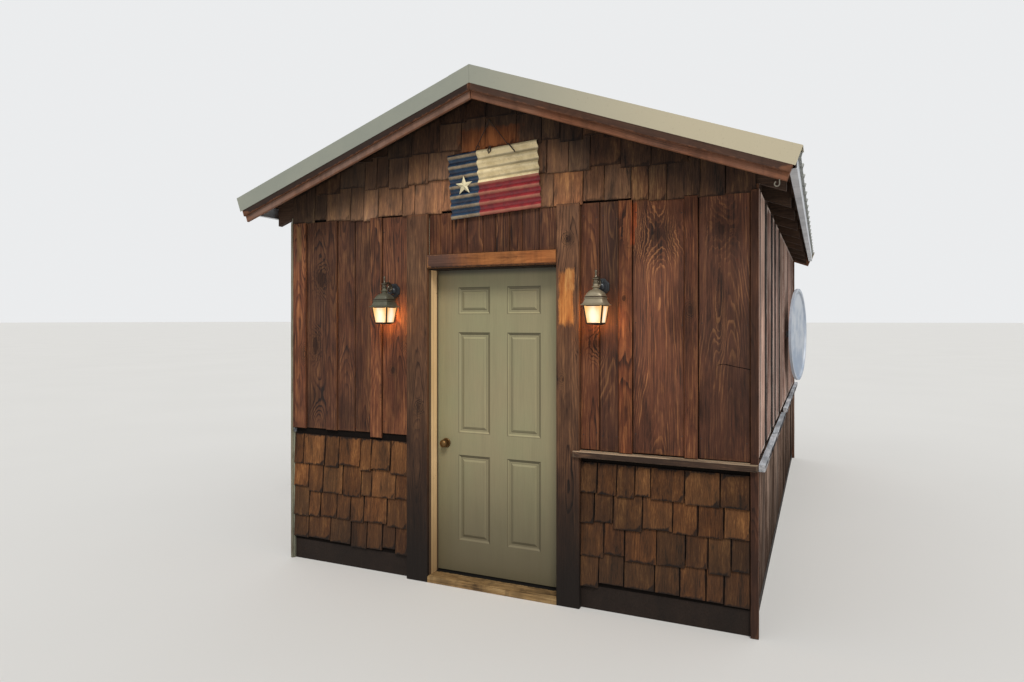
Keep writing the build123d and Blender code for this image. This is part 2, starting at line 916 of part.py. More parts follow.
nodes = {}
nodes["base_beams"] = base_beams()
nodes["floor_deck"] = floor_deck()
nodes.update(wall_panels())
nodes.update(cladding_panels())
nodes["corner_boards"] = corner_boards()
nodes.update(ledges())
nodes.update(door_frame())
nodes.update(casings())
nodes["door_leaf"] = [door_leaf()]
knob, roses = door_knobs()
nodes["door_knob"] = [knob]
nodes["knob_roses"] = roses
nodes["hinge_frame_halves"], nodes["hinge_leaf_halves"] = hinges()
nodes["rafters"] = rafters()
nodes["eave_blocking"] = eave_blocking()
nodes["ridge_board"] = [ridge_board()]
nodes["roof_deck"] = roof_deck()
nodes["roof_panel_right"], nodes["roof_panel_left"] = [[half] for half in both_sides(roof_panel())]
nodes["ridge_cap"] = [ridge_cap()]
nodes["rake_trims"] = all_four(rake_trim())
nodes["barge_boards"] = all_four(barge_board())
right_trims = eave_trim()
nodes["eave_trim_right"] = right_trims
nodes["eave_trim_left"] = [mirror(length, about=Plane.YZ) for length in right_trims]
for side, across in (("left", -lantern_across), ("right", lantern_across)):
    mount, cage, panes = lantern(across)
    nodes[f"lantern_mount_{side}"] = [mount]
    nodes[f"lantern_cage_{side}"] = [cage]
    nodes[f"lantern_glass_{side}"] = panes
nodes["tin_flag"] = [tin_flag()]
nodes["flag_star"] = [flag_star()]
nodes["flag_hanger"] = [flag_hanger()]
nodes["screw_hook"] = [screw_hook()]
disc, bracket = round_disc()
nodes["round_disc"] = [disc]
nodes["disc_bracket"] = [bracket]

os.makedirs("parts", exist_ok=True)
for name, solids in nodes.items():
    export_step(Compound(children=list(solids)), f"parts/{name}.step")
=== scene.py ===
import bpy
import random
from math import cos, pi, radians, sin, tan
from mathutils import Matrix, Vector, noise


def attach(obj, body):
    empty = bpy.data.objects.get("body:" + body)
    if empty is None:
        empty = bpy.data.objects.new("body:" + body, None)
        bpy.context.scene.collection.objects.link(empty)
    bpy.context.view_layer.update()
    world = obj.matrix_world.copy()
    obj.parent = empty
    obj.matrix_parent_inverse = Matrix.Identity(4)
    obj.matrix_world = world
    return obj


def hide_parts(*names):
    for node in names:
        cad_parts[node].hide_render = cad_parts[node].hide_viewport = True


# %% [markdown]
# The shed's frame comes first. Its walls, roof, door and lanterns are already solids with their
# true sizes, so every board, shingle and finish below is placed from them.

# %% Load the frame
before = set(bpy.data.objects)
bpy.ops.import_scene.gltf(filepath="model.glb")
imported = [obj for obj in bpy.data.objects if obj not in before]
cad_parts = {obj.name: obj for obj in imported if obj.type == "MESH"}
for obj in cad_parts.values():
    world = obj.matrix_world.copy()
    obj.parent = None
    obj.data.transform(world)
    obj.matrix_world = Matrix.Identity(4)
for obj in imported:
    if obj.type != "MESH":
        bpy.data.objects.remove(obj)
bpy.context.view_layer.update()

# %% [markdown]
# The camera stands where the picture was taken: at eye height, a little to the right of the door,
# turned to the left. The lens shift keeps upright lines upright while the view looks slightly
# down, which is what a photographer of houses does.

# %% Camera
camera_data = bpy.data.cameras.new("camera")
camera_data.sensor_width = 36
camera_data.lens = 24.43
camera_data.shift_y = -0.0205
camera = bpy.data.objects.new("camera", camera_data)
camera.location = (1.937, -6.758, 1.743)
camera.rotation_euler = (radians(90), 0, radians(24))
bpy.context.collection.objects.link(camera)
bpy.context.scene.camera = camera
bpy.context.scene.view_settings.view_transform = "Standard"
print("camera stands at", camera.location[:])

# %% [markdown]
# The frame's own numbers, in metres, so that boards and trims land on what carries them. X runs
# to the right, Y into the shed and Z up. A wall's ways are the three directions of a board on it:
# along its length, across its width, and out of the wall.

# %% Places on the shed
front = -2.745
core_front = -2.727
core_side = 1.597
half_width = 1.615
half_depth = 2.745
roof_end = 3.045
pitch = radians(20)
soffit_ridge = 3.0843
ledge_top = 0.956
ledge_low = 0.916
ledge_middle = 0.936
board_top = 2.45
lantern_across = 0.735
lantern_out = 0.110
lantern_z = 1.94
right, back_way, up = Vector((1, 0, 0)), Vector((0, 1, 0)), Vector((0, 0, 1))
forward, left_way = -back_way, -right
on_front, on_back = (up, right, forward), (up, right, back_way)
on_left, on_right = (up, back_way, left_way), (up, back_way, right)


def roof_line(across, lift=0.0):
    """Height of the plane that lies lift above the rafters' underside."""
    return soffit_ridge - abs(across) * tan(pitch) + lift / cos(pitch)


def slope_ways(sign):
    """Down and out of one slope of the roof; sign is -1 for the left one."""
    return (Vector((sign * cos(pitch), 0, -sin(pitch))), Vector((sign * sin(pitch), 0, cos(pitch))))


# %% [markdown]
# A shader is a chain of small steps. Writing each one as a node with its links takes many lines,
# so a few helpers do it. A Value is a socket to reckon with: a * b + c adds the math nodes for
# it. A Graph adds any other step in one call, and Results are what a node puts out. The rest of
# the lesson can then read like a recipe.


# %% Helpers for shader nodes
def colour(code):
    """A colour as it shows on screen, such as 'a0522d', as the linear values shaders use."""
    parts = [int(code[index:index + 2], 16) / 255 for index in (0, 2, 4)]
    return [p / 12.92 if p <= 0.04045 else ((p + 0.055) / 1.055) ** 2.4 for p in parts] + [1.0]


class Value:
    """A socket that holds one result."""

    def __init__(self, graph, socket):
        self.graph, self.socket = graph, socket

    def __add__(self, other):
        return self.graph.math("ADD", self, other)

    def __sub__(self, other):
        return self.graph.math("SUBTRACT", self, other)

    def __rsub__(self, other):
        return self.graph.math("SUBTRACT", other, self)

    def __mul__(self, other):
        return self.graph.math("MULTIPLY", self, other)

    def __truediv__(self, other):
        return self.graph.math("DIVIDE", self, other)

    def __abs__(self):
        return self.graph.math("ABSOLUTE", self)


class Results:
    """What one node puts out, each as a Value, by name or by number."""

    def __init__(self, graph, sockets):
        self.graph, self.sockets = graph, sockets

    def __getitem__(self, key):
        return Value(self.graph, self.sockets[key])


class Graph:
    """Adds nodes to one shader tree; colours may be given by their codes."""

    def __init__(self, tree):
        self.tree = tree

    def put(self, socket, value):
        if isinstance(value, Value):
            self.tree.links.new(value.socket, socket)
        else:
            socket.default_value = colour(value) if isinstance(value, str) else value

    def node(self, kind, inputs=(), **settings):
        item = self.tree.nodes.new(kind)
        for name, value in settings.items():
            setattr(item, name, value)
        for key, value in dict(inputs).items():
            self.put(item.inputs[key], value)
        return Results(self, item.outputs)

    def math(self, operation, *values):
        return self.node("ShaderNodeMath", enumerate(values), operation=operation)[0]

    def vector(self, operation, *values):
        return self.node("ShaderNodeVectorMath", enumerate(values), operation=operation)[0]

    def length(self, vector):
        return self.node("ShaderNodeVectorMath", {0: vector}, operation="LENGTH")["Value"]

    def split(self, vector):
        return self.node("ShaderNodeSeparateXYZ", {0: vector})

    def join(self, *parts):
        return self.node("ShaderNodeCombineXYZ", enumerate(parts))[0]

    def noise(self, place, stretch, detail=2.0, roughness=0.5, distortion=0.0):
        values = {"Vector": self.vector("MULTIPLY", place, stretch), "Scale": 1.0,
                  "Detail": detail, "Roughness": roughness, "Distortion": distortion}
        return self.node("ShaderNodeTexNoise", values)["Fac"]

    def step(self, value, low, high, to_low=0.0, to_high=1.0):
        values = enumerate((value, low, high, to_low, to_high))
        return self.node("ShaderNodeMapRange", values, interpolation_type="SMOOTHSTEP")[0]

    def mix(self, factor, a, b, blend="MIX"):
        return self.node("ShaderNodeMix", {0: factor, 6: a, 7: b}, data_type="RGBA",
                         blend_type=blend)[2]

    def tint(self, shade, by):
        """A colour multiplied by another, or by one value on all its channels."""
        return self.mix(1.0, shade, self.join(by, by, by) if isinstance(by, Value) else by,
                        "MULTIPLY")

    def attribute(self, name, output="Vector"):
        return self.node("ShaderNodeAttribute", attribute_name=name)[output]

    def use(self, group, **inputs):
        named = {name.replace("_", " "): value for name, value in inputs.items()}
        return self.node("ShaderNodeGroup", named, node_tree=group)

    def give(self, **results):
        """Makes and feeds the outputs of a shader group."""
        for name in results:
            self.tree.interface.new_socket(name.replace("_", " "), in_out="OUTPUT",
                                           socket_type="NodeSocketFloat")
        end = self.tree.nodes.new("NodeGroupOutput").inputs
        for name, value in results.items():
            self.put(end[name.replace("_", " ")], value)

    def surface(self, shade, rough, relief=None, strength=0.3, depth=0.002, **others):
        """Feeds the main shader; relief is a height that the light should catch."""
        shader = self.tree.nodes["Principled BSDF"].inputs
        self.put(shader["Base Color"], shade)
        self.put(shader["Roughness"], rough)
        if relief:
            bump = {"Strength": strength, "Distance": depth, "Height": relief}
            self.put(shader["Normal"], self.node("ShaderNodeBump", bump)["Normal"])
        for name, value in others.items():
            self.put(shader[name.replace("_", " ")], value)


def new_group(name, **inputs):
    """A shader group with its named inputs, each a number or a vector."""
    tree = bpy.data.node_groups.new(name, "ShaderNodeTree")
    for label, value in inputs.items():
        kind = "NodeSocketFloat" if isinstance(value, float) else "NodeSocketVector"
        tree.interface.new_socket(label.replace("_", " "), in_out="INPUT",
                                  socket_type=kind).default_value = value
    graph = Graph(tree)
    return graph, Results(graph, tree.nodes.new("NodeGroupInput").outputs), tree


# %% [markdown]
# Sawn wood shows the rings of its tree. Each board gets a place inside an imaginary log: along
# it, across it and away from its heart. The distance from the heart, counted in rings, gives
# straight lines on one board and pointed arches on the next, as a real saw cut does. Knots push
# the rings aside, and fine fibres run along everything. An image of wood would repeat and blur
# close up; this never does.

# %% Wood grain group
nowhere = (0, 0, 0)
graph, given, wood_grain = new_group("wood_grain", Place=nowhere, Ring_width=0.008, Knots=0.5,
                                     Arches=0.3, Known_knot=0.0)
place = given["Place"]
along, across, depth = graph.split(place)
knots_per_metre = 2.6
cells = graph.node("ShaderNodeTexVoronoi", {
    "Vector": graph.join(along * 0.62, across, depth * 0.15), "Scale": knots_per_metre,
    "Randomness": 0.9})
chance, girth, _ = graph.split(cells["Color"])
chosen = graph.math("GREATER_THAN", given["Knots"], chance)
ratio = cells["Distance"] / knots_per_metre / (girth * 0.016 + 0.009)
knot = graph.math("MAXIMUM", graph.step(ratio, 1.15, 0.75) * chosen,
                  graph.step(given["Known knot"], 0.80, 0.85))
halo = graph.math("MAXIMUM", graph.step(ratio, 5.5, 0.8) * chosen, given["Known knot"])
radius = graph.math("SQRT", across * across + depth * depth)
radius += along * (given["Arches"] * 0.07 + 0.012)
radius += graph.noise(place, (1.1, 5, 5), 1.0) * 0.14
radius += graph.noise(place, (4.0, 20, 20)) * 0.022
radius += halo * 0.055
phase = radius / given["Ring width"]
part = graph.math("FRACT", phase)
late = graph.step(part, 0.45, 0.88) * graph.step(part, 1.0, 0.93)
each = graph.node("ShaderNodeTexWhiteNoise", {"W": graph.math("FLOOR", phase)},
                  noise_dimensions="1D")["Value"]
clear = graph.step(graph.noise(place, (1.9, 7, 7)), 0.40, 0.58, 0.30, 1.0)
graph.give(Rings=late * (each * 0.6 + 0.4) * clear,
           Fibre=graph.noise(place, (7, 380, 380), 2.0, 0.6),
           Streak=graph.noise(place, (1.5, 95, 95), 4.0, 0.72),
           Drift=graph.noise(place, (3.0, 15, 15), 5.0, 0.66, 0.6),
           Knot=knot, Around_knot=halo)
print("wood grain group has", len(wood_grain.nodes), "nodes")

# %% [markdown]
# Weather treats a wall by height and by luck: rain draws dark streaks downwards, sun bleaches
# some boards more than others, and soil splashes the lowest hand's width. One group makes these
# masks from the place on the shed, and each outdoor material takes its own share of them.

# %% Weather and edge groups
graph, given, weather = new_group("weather", Place=nowhere)
place = given["Place"]
ragged = graph.noise(place, (5, 5, 3), 3.0) * 0.5 + graph.split(place)[2]
graph.give(Blotch=graph.step(graph.noise(place, (1.7, 1.7, 1.1), 4.0, 0.6), 0.36, 0.66),
           Runs=graph.step(graph.noise(place, (16, 16, 0.8), 4.0, 0.65), 0.44, 0.72),
           Splash=graph.step(ragged, 1.1, 0.28),
           Speck=graph.step(graph.noise(place, (130, 130, 110), 2.0, 0.7), 0.60, 0.72))

# A mask along the edges; finishes use it for wear and for painted light and shade.
graph, given, edge_wear_and_light = new_group("edge_wear_and_light", Edge=0.0, Place=nowhere)
ragged = graph.noise(given["Place"], (26, 26, 9), 3.0, 0.65)
graph.give(Worn=graph.step(given["Edge"] + ragged, 1.18, 1.5))

graph, given, bare_patch = new_group("bare_patch", Place=nowhere, Centre=nowhere,
                                     Half_size=(1, 1, 1), Softness=0.0)
away = graph.vector("SUBTRACT", given["Place"], given["Centre"])
away = graph.vector("ABSOLUTE", graph.vector("DIVIDE", away, given["Half size"]))
ragged = graph.noise(given["Place"], (40, 40, 16), 4.0, 0.75)
away = graph.split(away)
reach = ragged * 0.9 + graph.math("MAXIMUM", away["X"], away["Z"])
graph.give(Bare=graph.step(reach, given["Softness"] + 1.56, 1.22 - given["Softness"]))
print("shader groups", len(bpy.data.node_groups))

# %% [markdown]
# All the timber on the shed is the same kind of thing with other colours, so one recipe makes
# each wood: rings and fibres first, then the tone of the single board, then what the weather and
# hands have done. Boards made below carry their place in the log as a value on every corner.
# Timbers that come from the frame use their place on the shed instead, turned along their grain.

# %% The wood recipe
grain_ways = {"x": (0, 1, 2), "y": (1, 0, 2), "z": (2, 0, 1)}
wall_face = -2.75
finishes = {}


def new_material(name):
    """A finish with only its main shader: the helper that adds its nodes, and the place on the
    shed at rest, which moves with the door when it swings."""
    finishes[name] = bpy.data.materials.new(name)
    finishes[name].use_nodes = True
    graph = Graph(finishes[name].node_tree)
    return graph, graph.node("ShaderNodeTexCoord")["Object"]


def log_place(graph, here, way):
    """The place in the log: carried by the board itself, or read from the shed for a frame part."""
    if way is None:
        return graph.attribute("grain")
    parts = graph.split(here)
    along, across, depth = (parts[index] for index in grain_ways[way])
    return graph.join(along, across + 0.031, depth + 0.094)


def wood(name, body, dark, light, way=None, ring_width=0.009, knots=0.35, rings=0.7, streaks=0.6,
         bleach=None, bleached=0.0, runs=0.3, stained=0.4, splash=0.4, foot=0.0, wear_and_light_colour=None,
         wear_and_light_share=0.5, patches=(), rough=0.72, relief=0.5, broadly=0.5, drifting=0.6, dust_and_top_light=0.0,
         redden=0.5, marks=(), softly=0.0, door_shadow_from=None, eaves=0.0, shine=0.22):
    """A timber finish from its colours and the strength of each effect. The patches of fresh wood
    and the marks, which are knots, start with x, z, half width and half height on the front."""
    graph, here = new_material(name)
    over, inwards, high = graph.split(here)
    stains = graph.use(weather, Place=here)
    tone, warmth, age = graph.split(graph.attribute("tone"))
    near = 0.0
    shaken = graph.noise(here, (60, 60, 45), 3.0) * 1.1 - 0.55
    for x, z, half_x, half_z, heart in marks:
        away = graph.vector("SUBTRACT", here, (x, wall_face, z))
        reach = graph.length(graph.vector("DIVIDE", away, (half_x, 1.0, half_z))) + shaken
        near = graph.math("MAXIMUM", near, graph.step(reach, 4.5, 0.3, 0.0, heart))
    grain = graph.use(wood_grain, Place=log_place(graph, here, way), Ring_width=ring_width,
                      Knots=knots, Arches=age, Known_knot=near)
    turned = graph.step(age, 0.50, 0.58, 1.0, -1.0) * (grain["Around knot"] * 1.1 + 0.5)
    figure = (0.16 - grain["Rings"]) * turned * rings + 0.5
    for value, share in (("Streak", broadly), ("Drift", drifting), ("Fibre", streaks)):
        figure += (grain[value] - 0.5) * (share * 2)
    shade = graph.mix(graph.step(figure, -0.05, 0.5), dark, body)
    shade = graph.mix(graph.step(figure, 0.5, 1.05), shade, light)
    redder = graph.step(graph.noise(here, (2.3, 2.3, 1.3), 3.0), 0.40, 0.62)
    redder = graph.math("MAXIMUM", redder, graph.step(high, 2.3, 1.6, 0.0, 0.8))
    shade = graph.mix(redder * redden, shade, graph.tint(shade, (1.12, 0.92, 0.82, 1)))
    if bleach:
        shade = graph.mix((stains["Blotch"] * 0.6 + age) * 0.7 * bleached, shade, bleach)
    shade = graph.tint(shade, tone * 1.3 + 1.0)
    shade = graph.mix(warmth, shade, graph.tint(shade, (1.55, 1.04, 0.62, 1)))
    soot = graph.step(graph.noise(here, (4.5, 4.5, 1.6), 5.0, 0.62), 0.46, 0.66)
    shade = graph.mix(soot * stained, shade, dark)
    shade = graph.mix(grain["Around knot"] * 0.45, shade, dark)
    heartwood = graph.mix(graph.step(grain["Fibre"], 0.35, 0.65), "120906", "3a2115")
    shade = graph.mix(grain["Knot"] * 0.8, shade, heartwood)
    shade = graph.mix(stains["Runs"] * runs, shade, "1f1510")
    for x, z, half_x, half_z, fresh, line in patches:
        patch = graph.use(bare_patch, Place=here, Centre=(x, wall_face, z),
                          Half_size=(half_x, 1.0, half_z), Softness=softly)
        mottled = graph.step(grain["Drift"] * 1.4 + grain["Streak"], 0.9, 1.5)
        shade = graph.mix(patch["Bare"], shade, graph.mix(mottled, line, fresh))
    # faces turned up get paler: partly dust, partly painted light from above
    if dust_and_top_light:
        facing = graph.split(graph.node("ShaderNodeNewGeometry")["Normal"])["Z"]
        lying = graph.step(facing, 0.35, 0.8) * graph.step(grain["Drift"], 0.40, 0.58, 0.3, 1.0)
        shade = graph.mix(lying * dust_and_top_light, shade, bleach)
    # a colour along the edges: wear on most timbers, painted shade along the shingles' edges and
    # feet, painted highlight on the right wall's board edges
    if wear_and_light_colour:
        near_edges = graph.use(edge_wear_and_light, Edge=graph.attribute("edge", "Fac"), Place=here)["Worn"]
        shade = graph.mix(near_edges * wear_and_light_share, shade, wear_and_light_colour)
    # soil splash low down; on the casings, set high, it is also painted shade near the ground
    shade = graph.mix(stains["Splash"] * splash, shade, "1c1511")
    # painted shade: darker from 1.3 m down towards the ground
    if foot:
        shade = graph.mix(graph.step(high, 1.30, 0.35, 0.0, foot), shade, "140d09")
    # painted shade: darker towards the roof line, as in the shade of the overhang
    if eaves:
        near_roof = abs(over) * tan(pitch) + high
        shade = graph.mix(graph.step(near_roof, 2.85, 3.04, 0.0, eaves), shade, "0f0e10")
    # painted shadow: the sill darkens inside this line, where the door shades it
    if door_shadow_from:
        ragged = graph.noise(here, (60, 5, 5), 4.0, 0.7) * 0.03 + inwards
        shade = graph.mix(graph.step(ragged, door_shadow_from - 0.002, door_shadow_from + 0.004), shade, "0c0a08")
    low = grain["Knot"] * -0.8 + (grain["Rings"] * 0.7 + grain["Fibre"])
    graph.surface(shade, graph.step(grain["Streak"], 0.2, 0.8, rough + 0.1, rough - 0.08), low,
                  relief, Specular_IOR_Level=shine)


# %% [markdown]
# Now each timber by its own colours. The walls were stained dark red-brown and have dried out;
# the shingles are lighter split cedar, the right-hand side has bleached grey-pink in the sun, and
# the casings are brown at the top and nearly black at the foot, partly stain and soil and partly
# painted shade near the ground. A scuff on the right-hand casing and torn strips on two boards
# show fresher wood.

# %% Timber finishes
scuffs = [(0.520, 1.875, 0.048, 0.165, "cb8a4b", "8a4c24"),
          (0.545, 1.99, 0.030, 0.07, "d29c5c", "98592d")]
torn = [(-1.545, 2.30, 0.022, 0.13, "8d6740", "5f4129"),
        (0.934, 2.36, 0.016, 0.075, "a8552b", "4c1f10"),
        (0.926, 2.24, 0.012, 0.06, "9c4c28", "431b0f")]
dull = [(-0.42, 2.13, 0.25, 0.3, "5c4136", "49332a"), (0.0, 2.084, 0.9, 0.013, "2e1d14", "1d120c")]
wall_knots = [(-1.355, 2.038, 0.026, 0.040, 1.0), (-1.41, 1.56, 0.016, 0.042, 1.0),
              (0.700, 1.60, 0.020, 0.034, 0.84), (0.876, 1.87, 0.008, 0.012, 1.0),
              (1.06, 2.23, 0.050, 0.050, 0.84), (1.262, 1.80, 0.010, 0.018, 1.0),
              (1.43, 2.25, 0.026, 0.050, 0.84), (1.42, 1.86, 0.010, 0.090, 0.78),
              (-0.745, 1.40, 0.010, 0.016, 1.0)]
casing_knots = [(0.535, 2.235, 0.011, 0.014, 1.0), (0.500, 1.38, 0.011, 0.018, 0.84),
                (-0.52, 1.16, 0.011, 0.018, 0.84)]
wood("stained_boards", "573321", "130a06", "8e633f", knots=0.8, rings=1.2, streaks=0.7,
     stained=0.5, bleach="604d46", bleached=0.28, wear_and_light_colour="7c5233", wear_and_light_share=0.15, patches=torn,
     ring_width=0.0115, broadly=0.72, drifting=0.62, redden=0.4, marks=wall_knots)
# The near-black edge colour of these shingles is painted shade, most of all under their feet.
wood("cedar_shingles", "633e20", "190f07", "976b3e", knots=0.1, rings=0.45, bleach="7d6444",
     bleached=0.25, wear_and_light_colour="0e0805", wear_and_light_share=0.9, relief=0.9, broadly=0.55, drifting=0.9, redden=0.0,
     splash=0.6)
# The gable shingles get painted shade towards the roof, and their dark edges are painted shade
# under the feet.
wood("dark_shingles", "77563f", "281b14", "aa855c", knots=0.1, rings=0.45, bleach="887766",
     bleached=0.45, wear_and_light_colour="140c08", wear_and_light_share=0.6, relief=0.9, broadly=0.6, drifting=1.1, eaves=0.66,
     patches=[(-0.01, 2.895, 0.22, 0.09, "b06a3c", "7a4426")])
# The pale edge colour of these boards is painted highlight.
wood("weathered_boards", "8a716a", "33241f", "c4aea3", knots=0.3, rings=0.6, bleach="c2b0a6",
     bleached=0.5, runs=0.6, wear_and_light_colour="dccdc2", wear_and_light_share=0.9, broadly=1.2, drifting=1.2, shine=0.0)
wood("bark_slabs", "5b4a43", "1c1411", "a08d80", knots=0.5, rings=0.7, bleach="a39387",
     bleached=0.5, runs=0.7, wear_and_light_colour="2a1e18", wear_and_light_share=0.7, broadly=1.0, drifting=1.3, splash=0.7,
     relief=0.9, shine=0.0)
wood("weathered_ledge", "4d4644", "191412", "a9a8a8", knots=0.1, rings=0.35, bleach="cfd6de",
     bleached=0.15, wear_and_light_colour="d0d6dc", wear_and_light_share=0.25, stained=0.9, broadly=1.4, drifting=2.6, dust_and_top_light=0.55,
     shine=0.0)
# The pale top of the front ledge is dust and painted light from above.
wood("ledge_timber", "30231c", "120c09", "5a4636", knots=0.15, bleach="b09a80", bleached=0.05,
     wear_and_light_colour="8b745c", wear_and_light_share=0.25, dust_and_top_light=0.85)
# Splash, foot and the tone fade darken the casings low down: stain and soil, and painted shade near
# the ground.
wood("casing_timber", "5a402f", "170e09", "8c6747", knots=0.5, rings=0.9, wear_and_light_colour="70462a",
     wear_and_light_share=0.45, patches=scuffs, broadly=0.6, drifting=0.7, ring_width=0.010, splash=1.0,
     foot=0.6, stained=0.3, marks=casing_knots)
wood("header_timber", "8a5a33", "5e3a20", "a26d3f", knots=0.2, rings=0.5, splash=0.0,
     stained=0.25, wear_and_light_colour="a8713f", patches=dull, softly=0.5, broadly=0.8, drifting=0.8)
wood("corner_timber", "40291e", "1e130d", "5e3f2d", wear_and_light_colour="744d35")
wood("corner_strip", "7d7c68", "4a4a3f", "a09f8b", knots=0.0, rings=0.2, runs=0.5, wear_and_light_colour="a6a894")
wood("barge_timber", "64402c", "2f1c12", "855a3e", knots=0.2, splash=0.0, stained=0.3,
     bleach="7a6256", bleached=0.8, wear_and_light_colour="8b5b3f")
wood("roof_boards", "44352a", "221912", "5c4838", splash=0.0, rings=0.5)
wood("roof_timber", "46362b", "251b15", "5e4a3a", way="x", splash=0.0)
wood("blocking_timber", "46362b", "251b15", "5e4a3a", way="y", splash=0.0)
wood("floor_boards", "8c6b49", "5b4330", "a98762", knots=0.3, runs=0.1, stained=0.15, splash=0.1)
wood("treated_timber", "241b15", "100c09", "332820", way="y", runs=0.5)
# The sill's dark band inside the door line is a painted shadow of the door.
wood("sill_timber", "94794f", "4c3b26", "b59c6e", way="x", splash=0.25, runs=0.5, rings=0.25,
     broadly=0.9, drifting=1.0, wear_and_light_colour="4a3824", wear_and_light_share=0.6, door_shadow_from=-2.649)
print("timber finishes", len(finishes))

# %% [markdown]
# The paints are the next family. The door is a flat sage olive that has picked up dust, its frame
# is cream gone yellow, and both show the faint grain of what is underneath. Paint hides wood but
# not grime, which gathers low down, and the colour drifts a little from place to place. Painted
# shade darkens the foot of the door and jamb, the panel creases, the top of the door under the
# header and two bands on the jamb, and each face is painted lighter or darker by how it turns.


# %% Paint finishes
def paint(name, coat, drift, dirt_and_shade, grime=0.3, rough=0.5, chips=None, foot=0.0, lines=(), head=None,
          panels=()):
    """A brushed paint over wood, with drifting colour, grime low down, painted shade towards the
    foot and a few chips; lines are dark bands given as (place along Y, half width, strength), some
    joints and some painted shade, head a height above which lies a painted shadow of the header,
    and panels the (middle, half height) of the sunk fields, whose creases get painted shade. Faces
    turned up or to the right get painted light, faces turned down or to the left painted shade."""
    graph, here = new_material(name)
    over, inwards, high = graph.split(here)
    grain = graph.use(wood_grain, Place=log_place(graph, here, "z"), Ring_width=0.012, Knots=0.0)
    stains = graph.use(weather, Place=here)
    shade = graph.mix(stains["Blotch"], coat, drift)
    # grime from runs and splash, and painted shade towards the foot
    for dirt_and_shade_share in (graph.step(grain["Fibre"], 0.40, 0.62) * 0.10, stains["Runs"] * (grime * 0.35),
                  stains["Splash"] * grime, graph.step(high, 1.15, 0.05) * foot):
        shade = graph.mix(dirt_and_shade_share, shade, dirt_and_shade)
    if chips:
        chipped = stains["Speck"] * graph.step(graph.noise(here, (6, 6, 6)), 0.55, 0.7)
        shade = graph.mix(chipped, shade, chips)
    # dark bands along Y: joints, and painted shade where the frame shades the paint
    for line, half, strength in lines:
        dark_band = graph.step(abs(inwards - line), half + 0.002, half - 0.001, 0.0, strength)
        shade = graph.mix(dark_band, shade, "2c1a12")
    # painted shade in the creases round each sunk panel
    beside = abs(abs(over) - 0.180) - 0.117
    for middle, half in panels:
        rim = graph.math("MAXIMUM", beside, abs(high - middle) - half)
        for inset, strength in ((0.0015, 0.6), (0.0145, 0.35), (0.0270, 0.45)):
            crease_shade = graph.step(abs(rim + inset), 0.0040, 0.0010, 0.0, strength)
            shade = graph.mix(crease_shade, shade, "463c28")
    # painted shadow of the header on the top of the door
    if head:
        shade = graph.mix(graph.step(high, head, head + 0.042, 0.0, 0.72), shade, "2b2d31")
    # painted light and shade: lighter on faces turned up or to the right, darker on faces turned
    # down or to the left
    sideways, _, upwards = graph.split(graph.node("ShaderNodeTexCoord")["Normal"])
    facing = sideways * 0.65 + upwards
    painted_light = graph.step(facing, 0.02, 0.75, 0.0, 0.42) + graph.step(facing, -0.02, -0.75, 1.0, 0.30)
    graph.surface(graph.tint(shade, painted_light), graph.step(stains["Blotch"], 0, 1, rough, rough + 0.12),
                  grain["Rings"] * 0.35 + grain["Fibre"], 0.22, 0.0009)


# The door takes painted shade towards its foot and a painted shadow under the header.
paint("green_paint", "928766", "8e8967", "4d4430", grime=0.35, foot=0.75, head=2.030,
      panels=[(0.5475, 0.2875), (1.3225, 0.3375), (1.8725, 0.0895)])
# On the jamb the first and last bands are painted shade, beside the casing and in the gap by the
# leaf; the middle one is a joint.
paint("cream_paint", "e2c092", "d2b080", "7c6240", grime=0.6, chips="7a6240", foot=0.4,
      lines=[(-2.745, 0.021, 0.9), (-2.694, 0.002, 0.25), (-2.639, 0.009, 0.9)])
paint("framed_wall", "c4b59a", "b8a88c", "8a7a62", grime=0.15, rough=0.75)
paint("star_paint", "d8cca6", "c9bb92", "6d6450", chips="6d6450", grime=0.2)
print("timber and paint finishes", len(finishes))

# %% [markdown]
# Metal comes as ribbed roof sheets, folded trims, zinc, brass and the bronze of the lanterns.
# What tells them apart is colour, how metallic they still are, and what dulls them: chalk on
# painted steel, a flower pattern on zinc, pale spots on old bronze.

# %% Metal finishes
graph, given, metal_age = new_group("metal_age", Place=nowhere, Grain_size=60.0)
place = given["Place"]
flowers = graph.node("ShaderNodeTexVoronoi", {"Vector": place, "Scale": given["Grain size"]})
graph.give(Spangle=graph.split(flowers["Color"])["X"],
           Cloud=graph.step(graph.noise(place, (3.2, 3.2, 3.2), 5.0, 0.62), 0.36, 0.66),
           Spots=graph.step(graph.noise(place, (85, 85, 85), 3.0, 0.7), 0.60, 0.74),
           Dents=graph.noise(place, (7, 7, 7), 1.5))


def metal(name, body, drift, spot, metallic=0.6, rough=0.45, spangle=0.0, size=60.0, spots=0.3,
          dents=0.3, cloud=0.7, painted_light_right=None, washed=0.0):
    """A metal from its body colour, what clouds it and what spots it."""
    graph, here = new_material(name)
    age = graph.use(metal_age, Place=here, Grain_size=size)
    shade = graph.mix(age["Cloud"] * cloud, body, drift)
    if washed:
        trails = graph.step(graph.noise(here, (0.9, 16, 0.9), 5.0, 0.7), 0.42, 0.62)
        shade = graph.mix(trails * washed, shade, drift)
    # painted light: paler and warmer towards the right of the shed
    if painted_light_right:
        shade = graph.mix(graph.step(graph.split(here)["X"], -0.3, 1.5), shade, painted_light_right)
    shade = graph.tint(shade, age["Spangle"] * spangle + (1 - spangle / 2))
    marks = age["Spots"] * spots
    graph.surface(graph.mix(marks, shade, spot),
                  graph.step(age["Cloud"], 0, 1, rough, rough + 0.2 * cloud), age["Dents"], dents,
                  0.004, Metallic=graph.step(marks, 0, 1, metallic, metallic * 0.2))


